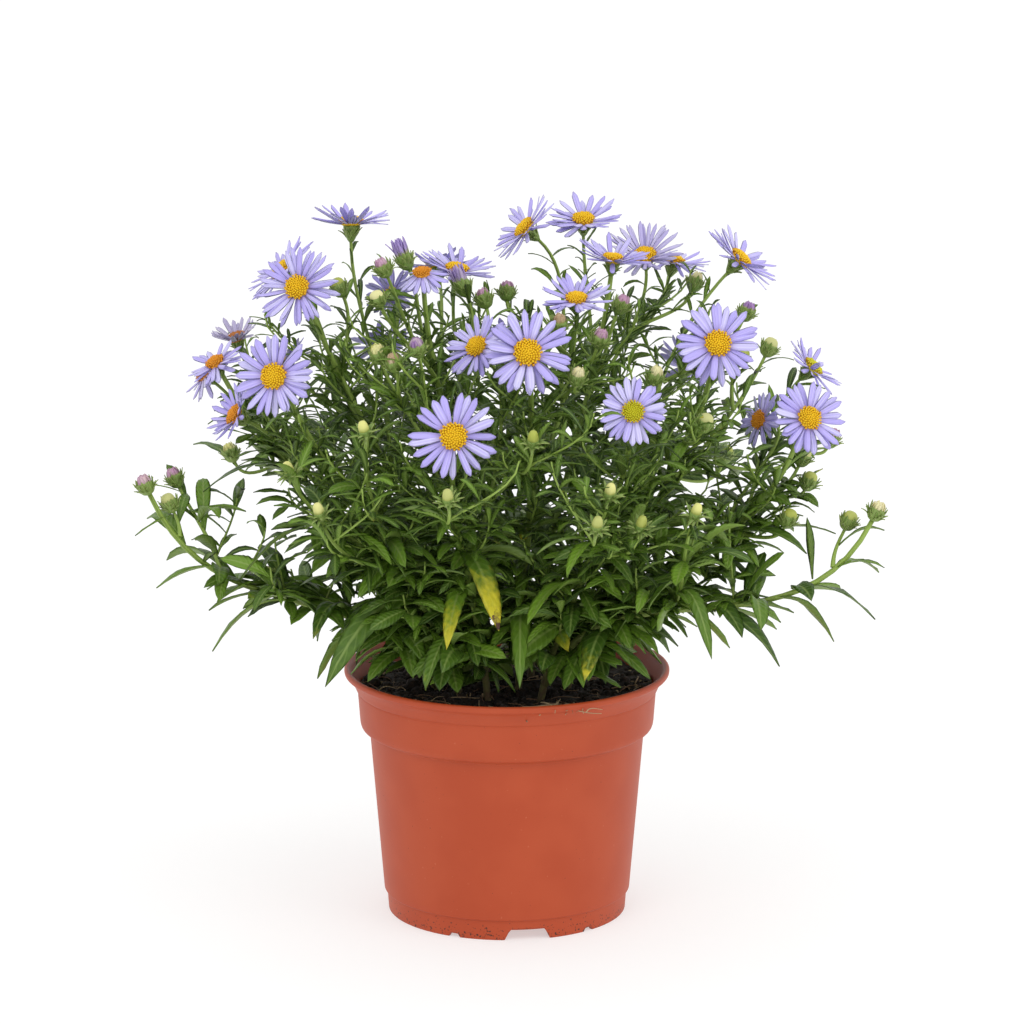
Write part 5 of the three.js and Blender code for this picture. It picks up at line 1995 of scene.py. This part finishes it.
    def rings(
        self,
        leaves: list[Leaf],
        section: Section,
        stations: int,
        rng: np.random.Generator,
    ) -> Array:
        """Blades along arched midribs. The half width is a flattened sine that is widest
        past the middle, over a narrow stalk; the blade folds up from its midrib, twists
        towards its point, and its edges wave.

        Args:
            leaves: the leaves.
            section: the blade's section.
            stations: rings along each.
            rng: random numbers.
        Returns:
            (leaves, stations, around, 3) points.
        """
        count = len(leaves)
        share = np.linspace(0, 1, stations)
        root = np.array([leaf.root for leaf in leaves])
        tip = np.array([leaf.tip for leaf in leaves])
        width = np.array([leaf.width for leaf in leaves])
        arch = np.array([leaf.arch for leaf in leaves])
        ribs = arched(root, tip, arch)
        middle, tangent = bezier(ribs, share), slopes(ribs, share)
        level = unit(np.cross(Z_UP, tip - root))[:, None]
        roll = rng.normal(0, 0.3, (count, 1, 1)) + rng.normal(0, 0.35, (count, 1, 1)) * share[:, None]
        flat_side = unit(level - dot(level, tangent) * tangent)
        flat_up = np.cross(tangent, flat_side)
        side = flat_side * np.cos(roll) + flat_up * np.sin(roll)
        up = np.cross(tangent, side)
        outline = np.maximum(np.sin(math.pi * share**1.15) ** 0.65, 0.2 * (1 - share) + 0.02)
        half = width[:, None] / 2 * outline
        edge = abs(section.across)
        fold = rng.uniform(0.05, 0.4, (count, 1, 1)) * half[..., None] * edge
        phase = rng.uniform(0, math.tau, (count, 1, 1))
        waves = np.sin(phase + share[:, None] * rng.uniform(6, 14, (count, 1, 1)) + section.across)
        wave = 0.07 * width[:, None, None] * waves * edge * outline[:, None]
        return blade_rings(middle, side, up, half, self.thick, fold + wave, section)

    def build(self, stem: GrownStem, number: int, material: bpy.types.Material) -> int:
        """Makes one piece of the stem's leaves, and gives the stem its twigs.

        Args:
            stem: the grown stem.
            number: its place among the stems.
            material: the leaf's finish.
        Returns:
            The number of leaves.
        """
        rng = np.random.default_rng(self.seed + number)
        leaves = list(stem.leaves)
        for shoot in stem.shoots.values():
            spacing = self.main_spacing if shoot.size is MAIN else self.side_spacing
            leaves += self.drawn(shoot.curve, shoot.length, spacing, 1.0, shoot.name, rng)
        stem.twigs = self.twigs(stem, rng)
        for twig in stem.twigs:
            length, scale = length_of(twig.curve, 12), self.twig_scale
            leaves += self.drawn(twig.curve, length, self.twig_spacing, scale, twig.shoot.name, rng)
        blades = Sweeps()
        broad = [leaf for leaf in leaves if leaf.width > self.broad_width]
        narrow = [leaf for leaf in leaves if leaf.width <= self.broad_width]
        for group, section, stations in (
            (broad, BROAD, self.broad_stations),
            (narrow, NARROW, self.narrow_stations),
        ):
            share = np.linspace(0, 1, stations)[:, None]
            tone = rng.uniform(0, 1, (len(group), 1, 1))
            spoiled = np.array([leaf.spoiled for leaf in group])[:, None, None]
            under = (section.high < 0) * 1.0
            rings = self.rings(group, section, stations, rng)
            marks = {"along": share, "aside": section.across, "under": under}
            blades.add(rings, **marks, tone=tone, spoiled=spoiled)
        blades.piece(stem.node + "_leaves", material, "leaf_green")
        return len(leaves)


@dataclass(frozen=True)
class BractRule:
    """A head's bracts: their number, their length, and the degrees that the lowest and the
    highest spread."""

    count: int
    reach: float
    spread: tuple[float, float]


@dataclass
class Heads:
    """What the shoots of one stem bear under their blooms and round their buds: a green
    body, spreading bracts, and on a bud the tips of its young rays. A bloom's bracts have
    their length as a share of its cup's height."""

    around: int = 12
    bract_stations: int = 6
    bract_width: float = 1.5
    bract_thick: float = 0.35
    cup_bracts: BractRule = BractRule(26, 0.6, (48, 8))
    bud_bracts: BractRule = BractRule(24, 3.3, (60, 4))
    star_bracts: BractRule = BractRule(18, 4.4, (95, 42))
    bud_radius: float = 3.3
    star_radius: float = 2.4
    neck: float = 0.75
    tip_width: float = 1.8
    tip_thick: float = 0.4
    tuft_rays: int = 26
    bud_rays: int = 15
    seed: int = 200

    def body(self, head: Head, profile: Array) -> Array:
        """A round body turned about a head's axis.

        Args:
            head: the head.
            profile: (stations, 2) radii and heights above its foot.
        Returns:
            (1, stations, around, 3) points.
        """
        u, v = square_to(head.axis)
        line = head.foot + profile[:, 1:] * head.axis
        frames = (np.broadcast_to(each, line.shape)[None] for each in (u, v))
        return round_rings(line[None], *frames, profile[None, :, 0], self.around)

    def petals(
        self,
        head: Head,
        turn: Array,
        start: Array,
        reach: Array,
        spread: Array,
        width: Array,
        thick: float,
    ) -> Array:
        """Narrow blades round a head's axis: each leaves its start along the axis and bends
        outward by its spread.

        Args:
            head: the head.
            turn: (petals,) turns about the axis.
            start: (petals, 2) radius and height of the foot of each.
            reach: (petals,) lengths.
            spread: (petals,) angles between the axis and the line from foot to point.
            width: (petals,) widths.
            thick: thickness.
        Returns:
            (petals, stations, 4, 3) points.
        """
        u, v = square_to(head.axis)
        spoke = u * np.cos(turn)[:, None] + v * np.sin(turn)[:, None]
        foot = head.foot + spoke * start[:, :1] + head.axis * start[:, 1:]
        along = head.axis * reach[:, None]
        out = (reach * np.sin(spread))[:, None]
        tip = foot + along * np.cos(spread)[:, None] + spoke * out
        controls = np.stack([foot, foot + along * 0.45 + spoke * (out * 0.2), tip], 1)
        share = np.linspace(0, 1, self.bract_stations)
        middle, tangent = bezier(controls, share), slopes(controls, share)
        side = np.repeat(np.cross(spoke, head.axis)[:, None], self.bract_stations, 1)
        outline = np.maximum(np.sin(math.pi * (0.2 + 0.8 * share)) ** 0.6, 0.08)
        half = width[:, None] / 2 * outline
        lift = half[..., None] * 0.3 * abs(NARROW.across)
        return blade_rings(middle, side, np.cross(tangent, side), half, thick, lift, NARROW)

    def bracts(
        self,
        head: Head,
        profile: Array,
        rule: BractRule,
        rng: np.random.Generator,
    ) -> Array:
        """Bracts on a head's body, by the golden angle from its foot up, the lower ones
        spreading most.

        Args:
            head: the head.
            profile: the body's radii and heights.
            rule: the bracts' number, length and spread.
            rng: random numbers.
        Returns:
            (bracts, stations, 4, 3) points.
        """
        count = rule.count
        order = np.linspace(0, 1, count)
        height = mix(0.25, 0.72, order) * profile[-1, 1]
        radius = np.interp(height, profile[:, 1], profile[:, 0]) * 0.92
        turn = np.arange(count) * GOLDEN_TURN + rng.normal(0, 0.12, count)
        angle = np.radians(mix(*rule.spread, order) + rng.normal(0, 9, count))
        length = rule.reach * rng.uniform(0.8, 1.15, count)
        width = self.bract_width * rng.uniform(0.8, 1.2, count)
        start = np.stack([radius, height], 1)
        return self.petals(head, turn, start, length, angle, width, self.bract_thick)

    def cup_profile(self, bloom: Bloom) -> Array:
        """A bloom's cup, which widens from the stalk to a tenth of the bloom.

        Args:
            bloom: the bloom.
        Returns:
            (stations, 2) radii and heights.
        """
        share = np.linspace(0, 1, 7)
        radius = mix(0.8, bloom.size * 0.1, np.sin(share * math.pi / 2) ** 0.8)
        return np.stack([radius, share * bloom.size * CUP_SHARE], 1)

    def bud_profile(self, head: Head, bud: Bud) -> Array:
        """A bud's green body: an egg, open at the top.

        Args:
            head: where it grows.
            bud: the bud.
        Returns:
            (stations, 2) radii and heights.
        """
        share = np.linspace(0, 1, 8)
        wide = self.star_radius if bud.star else self.bud_radius
        top = 0.5 if bud.star or bud.kind is HeadKind.TUFT else 0.66
        swell = np.sin(math.pi * share**0.8 * 0.72) ** 0.7
        return np.stack([self.neck + (wide - self.neck) * swell, share * head.top * top], 1)

    def young(self, bud: Bud, head: Head, profile: Array, rng: np.random.Generator) -> list[Array]:
        """The tips that show on a bud: young rays packed into an egg, standing out of it
        on a half-open head, or a smooth dome on a bare or green one.

        Args:
            bud: the bud.
            head: where it grows.
            profile: its green body's radii and heights.
            rng: random numbers.
        Returns:
            The bodies' rings.
        """
        radius, height = profile[-1]
        room = head.top - height
        share = np.linspace(0, 1, 6)
        wide = radius * np.cos(share * 1.4) ** 0.7 * 1.02
        egg = np.stack([wide, height - 0.6 + (room + 0.2) * np.sin(share * 1.45)], 1)
        if bud.kind is HeadKind.BARE or bud.star or bud.tint is Tint.GREEN:
            return [self.body(head, egg)]
        tuft = bud.kind is HeadKind.TUFT
        count = self.tuft_rays if tuft else self.bud_rays
        turn = np.arange(count) * GOLDEN_TURN
        inward = rng.uniform(0.55, 0.95, count)
        foot = np.stack([radius * inward, np.full(count, height - 0.7)], 1)
        reach = (room + 0.9) * mix(1.12, 0.85, inward) * rng.uniform(0.9, 1.08, count)
        if tuft:
            spread = mix(-12, 8, inward) + rng.normal(0, 7, count)
            core = egg * (0.8, 0.9)
        else:
            spread = rng.normal(-16, 4, count)
            core = egg * (0.82, 1)
        width = np.full(count, self.tip_width)
        rays = self.petals(head, turn, foot, reach, np.radians(spread), width, self.tip_thick)
        return [self.body(head, core), rays]

    def build(
        self,
        stem: GrownStem,
        number: int,
        green: bpy.types.Material,
        tips: dict[Tint, Sweeps],
    ) -> None:
        """Makes one piece of a stem's cups and bracts, and gathers its buds' tips.

        Args:
            stem: the grown stem.
            number: its place among the stems.
            green: the bracts' finish.
            tips: the bodies of the buds' tips so far, by tint.
        """
        rng = np.random.default_rng(self.seed + number)
        cups = Sweeps()
        share = np.linspace(0, 1, self.bract_stations)[:, None]
        for name in stem.shoots:
            head = head_of(name)
            tone = rng.uniform(0, 1)
            if name in BLOOMS:
                profile = self.cup_profile(BLOOMS[name])
                rule = replace(self.cup_bracts, reach=head.top * self.cup_bracts.reach)
                bracts = self.bracts(head, profile, rule, rng)
            else:
                bud = BUDS[name]
                profile = self.bud_profile(head, bud)
                rule = self.star_bracts if bud.star else self.bud_bracts
                bracts = self.bracts(head, profile, rule, rng)
                for rings in self.young(bud, head, profile, rng):
                    rise = np.linspace(0, 1, rings.shape[1])[:, None]
                    own = tone + rng.uniform(-0.5, 0.5, (len(rings), 1, 1))
                    tips.setdefault(bud.tint, Sweeps()).add(rings, along=rise, tone=own)
            rise = np.linspace(0, 0.6, len(profile))[:, None]
            cups.add(self.body(head, profile), along=rise, aside=0, tone=tone)
            own = rng.uniform(0, 1, (len(bracts), 1, 1))
            cups.add(bracts, along=share, aside=NARROW.across, tone=own)
        cups.piece(stem.node + "_cups", green, "leaf_green")


@dataclass
class Flower:
    """An open bloom: its ring of rays and its disc of florets.

    Args:
        name: its name in the table.
        bloom: its row.
        stations: rings along a ray.
        thick: thickness of a ray.
        hub: share of the radius where the rays start.
        rows: heights of the two rows of rays.
        disc_florets: number of florets in the disc.
        disc_rise: height of the disc against its radius.
        seed: what the first bloom's random numbers start from.
    """

    name: str
    bloom: Bloom
    stations: int = 8
    thick: float = 0.26
    hub: float = 0.2
    rows: tuple[float, float] = (0.15, 0.55)
    disc_florets: int = 100
    disc_rise: float = 0.62
    seed: int = 300

    def frame(self) -> tuple[Array, Array]:
        """Two unit vectors in the plane of the bloom."""
        return square_to(self.bloom.axis)

    def rays(self, rng: np.random.Generator) -> Array:
        """Rays in two rows: parallel-sided blades with a narrow foot and a blunt point,
        that rise at their own angle, dip towards the point and are channelled.

        Args:
            rng: random numbers.
        Returns:
            (rays, stations, 8, 3) points.
        """
        bloom, count = self.bloom, self.bloom.florets
        u, v = self.frame()
        share = np.linspace(0, 1, self.stations)
        turn = (np.arange(count) + rng.normal(0, 0.16, count)) * math.tau / count
        spoke = u * np.cos(turn)[:, None] + v * np.sin(turn)[:, None]
        beside = np.cross(bloom.axis, spoke)
        hub = bloom.radius * self.hub
        length = (bloom.radius * bloom.spread - hub) * rng.uniform(0.92, 1.04, count)
        row = np.arange(count) % 2
        rise = np.radians(bloom.rise + rng.normal(0, 7, count) + mix(-4, 6, row))
        dip = rng.normal(0.06, 0.08, count)
        level = mix(*self.rows, row)
        along = length[:, None] * share * np.cos(rise)[:, None]
        high = length[:, None] * (share * np.sin(rise)[:, None] - share**2 * dip[:, None])
        stray = length[:, None] * share**2 * rng.normal(0, 0.05, count)[:, None]
        middle = np.array(bloom.at) + spoke[:, None] * (hub + along)[..., None]
        middle = middle + beside[:, None] * stray[..., None]
        middle = middle + bloom.axis * (level[:, None] + high)[..., None]
        tangent = unit(np.gradient(middle, axis=1))
        roll = rng.normal(0, 0.16, (count, 1, 1))
        flat = unit(beside[:, None] - dot(beside[:, None], tangent) * tangent)
        side = -(flat * np.cos(roll) + np.cross(tangent, flat) * np.sin(roll))
        up = np.cross(tangent, side)
        width = bloom.ray_width * rng.uniform(0.85, 1.12, (count, 1))
        end = np.sqrt(np.clip(1 - ((share - 0.78) / 0.225).clip(0) ** 2, 0.02, 1))
        outline = mix(0.42, 1, np.clip(share / 0.45, 0, 1) ** 0.7) * end
        half = width / 2 * outline
        channel = half[..., None] * (rng.uniform(0.0, 0.5, (count, 1, 1)) * BROAD.across**2)
        return blade_rings(middle, side, up, half, self.thick, channel)

    def florets(self, rng: np.random.Generator) -> Array:
        """Disc florets by the golden angle over a low dome: small tubes along its normal,
        the outer ones open in five lobes and the middle ones still shut.

        Args:
            rng: random numbers.
        Returns:
            (florets, stations, 5, 3) points.
        """
        bloom, count = self.bloom, self.disc_florets
        u, v = self.frame()
        disc = bloom.size * DISC_SHARE
        order = (np.arange(count) + 0.5) / count
        out, turn = disc * np.sqrt(order) * 0.96, np.arange(count) * GOLDEN_TURN
        spoke = u * np.cos(turn)[:, None] + v * np.sin(turn)[:, None]
        dome = disc * self.disc_rise * np.sqrt(1 - order * 0.95) - 0.3
        foot = np.array(bloom.at) + spoke * out[:, None] + bloom.axis * (0.7 + dome)[:, None]
        way = unit(bloom.axis + spoke * (order * 0.9)[:, None] + rng.normal(0, 0.1, (count, 3)))
        share = np.array([0, 0.6, 1.0])
        length = mix(0.7, 1.3, order) * rng.uniform(0.8, 1.2, count)
        line = foot[:, None] + way[:, None] * (length[:, None] * share)[..., None]
        side, up = tube_frames(line, np.repeat(way[:, None], 3, 1))
        slim = disc / math.sqrt(count) * 0.98
        shut, opened = np.array([0.8, 1.0, 0.45]), np.array([0.65, 0.85, 1.25])
        radius = slim * mix(shut, opened, np.clip(order[:, None] * 2 - 0.7, 0, 1))
        return round_rings(line, side, up, radius, 5)

    def seat(self) -> Array:
        """The dome that the florets stand on, down to the hub.

        Returns:
            (1, stations, 16, 3) points.
        """
        bloom = self.bloom
        u, v = self.frame()
        disc = bloom.size * DISC_SHARE
        share = np.linspace(0, 1, 6)
        high = 0.3 + disc * self.disc_rise * np.sin(share * 1.45)
        profile = np.stack([disc * np.cos(share * 1.45), high], 1)
        profile = np.concatenate([[(disc * 0.8, -0.2)], profile])
        line = np.array(bloom.at) + profile[:, 1:] * bloom.axis
        frames = (np.broadcast_to(each, line.shape)[None] for each in (u, v))
        return round_rings(line[None], *frames, profile[None, :, 0], 16)

    def build(self, number: int, petal: bpy.types.Material, pollen: bpy.types.Material) -> None:
        """Makes the rays and the disc.

        Args:
            number: the bloom's place in the table.
            petal: the rays' finish.
            pollen: the disc's finish.
        """
        rng = np.random.default_rng(self.seed + number)
        node = "bloom_" + self.name[1:]
        rays, disc = Sweeps(), Sweeps()
        blades = self.rays(rng)
        tone = rng.uniform(0, 1, (len(blades), 1, 1))
        share = np.linspace(0, 1, self.stations)[:, None]
        rays.add(blades, along=share, aside=BROAD.across, tone=tone, fade=self.bloom.fade)
        stands_for = (node,) if self.bloom.whole else (node + "_rays", node + "_disc")
        rays.piece(node + "_ray_florets", petal, "ray_florets", stands_for[0])
        tubes = self.florets(rng)
        order = np.linspace(0, 1, len(tubes))[:, None, None]
        # The along mark darkens each floret's foot with painted shade, and the dome under them a
        # little.
        disc.add(tubes, along=np.array([0, 0.6, 1])[:, None], tone=order)
        disc.add(self.seat(), along=0.45, tone=0.5)
        disc.piece(node + "_disc_florets", pollen, "disc_florets", *stands_for[1:])


@dataclass(frozen=True)
class Lamp:
    """A square lamp: its place, the length of its side and its power in watts."""

    at: Point
    size: float
    power: float


@dataclass(frozen=True)
class Studio:
    """A white table with a little light of its own, two soft lamps, and the photograph's
    camera. Sizes are in metres."""

    camera_at: Point = (0.00205, -2.0, 0.6228)
    camera_dip: float = 0.2261
    lens: float = 181.8
    floor: float = 20.0
    far: float = 50.0
    aim: Point = (0.0, 0.0, 0.15)
    key: Lamp = Lamp((-0.6, -1.4, 1.6), 0.9, 5)
    fill: Lamp = Lamp((1.3, -0.9, 1.0), 1.2, 5)
    table: tuple[tuple[str, object], ...] = (
        ("Base Color", linear("C0C0C0")),
        ("Roughness", 0.9),
        ("Specular IOR Level", 0.1),
        ("Emission Color", (1, 1, 1, 1)),
        ("Emission Strength", 0.5),
    )

    def light(self, name: str, lamp: Lamp) -> None:
        """Makes a lamp that faces the plant.

        Args:
            name: its name.
            lamp: its place, size and power.
        """
        light = bpy.data.lights.new(name, "AREA")
        light.size, light.energy = lamp.size, lamp.power
        made = bpy.data.objects.new(name, light)
        made.location = lamp.at
        way = np.array(self.aim) - np.array(lamp.at)
        dip = math.acos(-way[2] / np.linalg.norm(way))
        made.rotation_euler = (dip, 0, math.atan2(-way[0], way[1]))
        bpy.context.scene.collection.objects.link(made)

    def build(self) -> None:
        """Makes the floor, the lamps, the surround and the camera."""
        scene = bpy.context.scene
        scene.view_settings.view_transform = "Standard"
        half = self.floor / 2
        mesh = bpy.data.meshes.new("floor")
        corners = [(-half, -half, 0), (half, -half, 0), (half, half, 0), (-half, half, 0)]
        mesh.from_pydata(corners, [], [(0, 1, 2, 3)])
        mesh.materials.append(Paint("lit_table", dict(self.table)).material)
        floor = bpy.data.objects.new("floor", mesh)
        scene.collection.objects.link(floor)
        floor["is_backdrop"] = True
        world = bpy.data.worlds.new("surround")
        world.use_nodes = True
        surround = world.node_tree.nodes["Background"].inputs
        surround["Color"].default_value = (1, 1, 1, 1)
        surround["Strength"].default_value = 1.0
        scene.world = world
        self.light("key_light", self.key)
        self.light("fill_light", self.fill)
        lens = bpy.data.cameras.new("camera")
        lens.lens = self.lens
        lens.clip_end = self.far
        camera = bpy.data.objects.new("camera", lens)
        camera.location = self.camera_at
        camera.rotation_euler = (math.pi / 2 - self.camera_dip, 0, 0)
        scene.collection.objects.link(camera)
        scene.camera = camera


def main() -> None:
    """Builds the pot, the peat, the plant and the studio."""
    NurseryPot().build()
    LOG.info("pot made")
    PeatBed().build()
    LOG.info("peat made")
    bark, skin, green = StalkBark().material(), LeafSkin().material(), BractSkin().material()
    tips: dict[Tint, Sweeps] = {}
    leaves = 0
    for number, stem in enumerate(grow_stems()):
        leaves += Foliage().build(stem, number, skin)
        Stalks().build(stem, bark)
        Heads().build(stem, number, green, tips)
        LOG.info("%s made", stem.node)
    LOG.info("%d leaves made", leaves)
    for tint, bodies in tips.items():
        bodies.piece("bud_tips_" + tint.name.lower(), YoungTip(tint).material(), "ray_florets")
    petal = RayPetal().material()
    pollen = {age: DiscPollen(age).material() for age in Age}
    for number, (name, bloom) in enumerate(BLOOMS.items()):
        Flower(name, bloom).build(number, petal, pollen[bloom.age])
    LOG.info("%d blooms made", len(BLOOMS))
    Studio().build()
    boxes = {"cad": CAD_BOX, "visual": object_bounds()}
    {name: [list(corner) for corner in box] for name, box in boxes.items()}


if __name__ == "__main__":
    main()
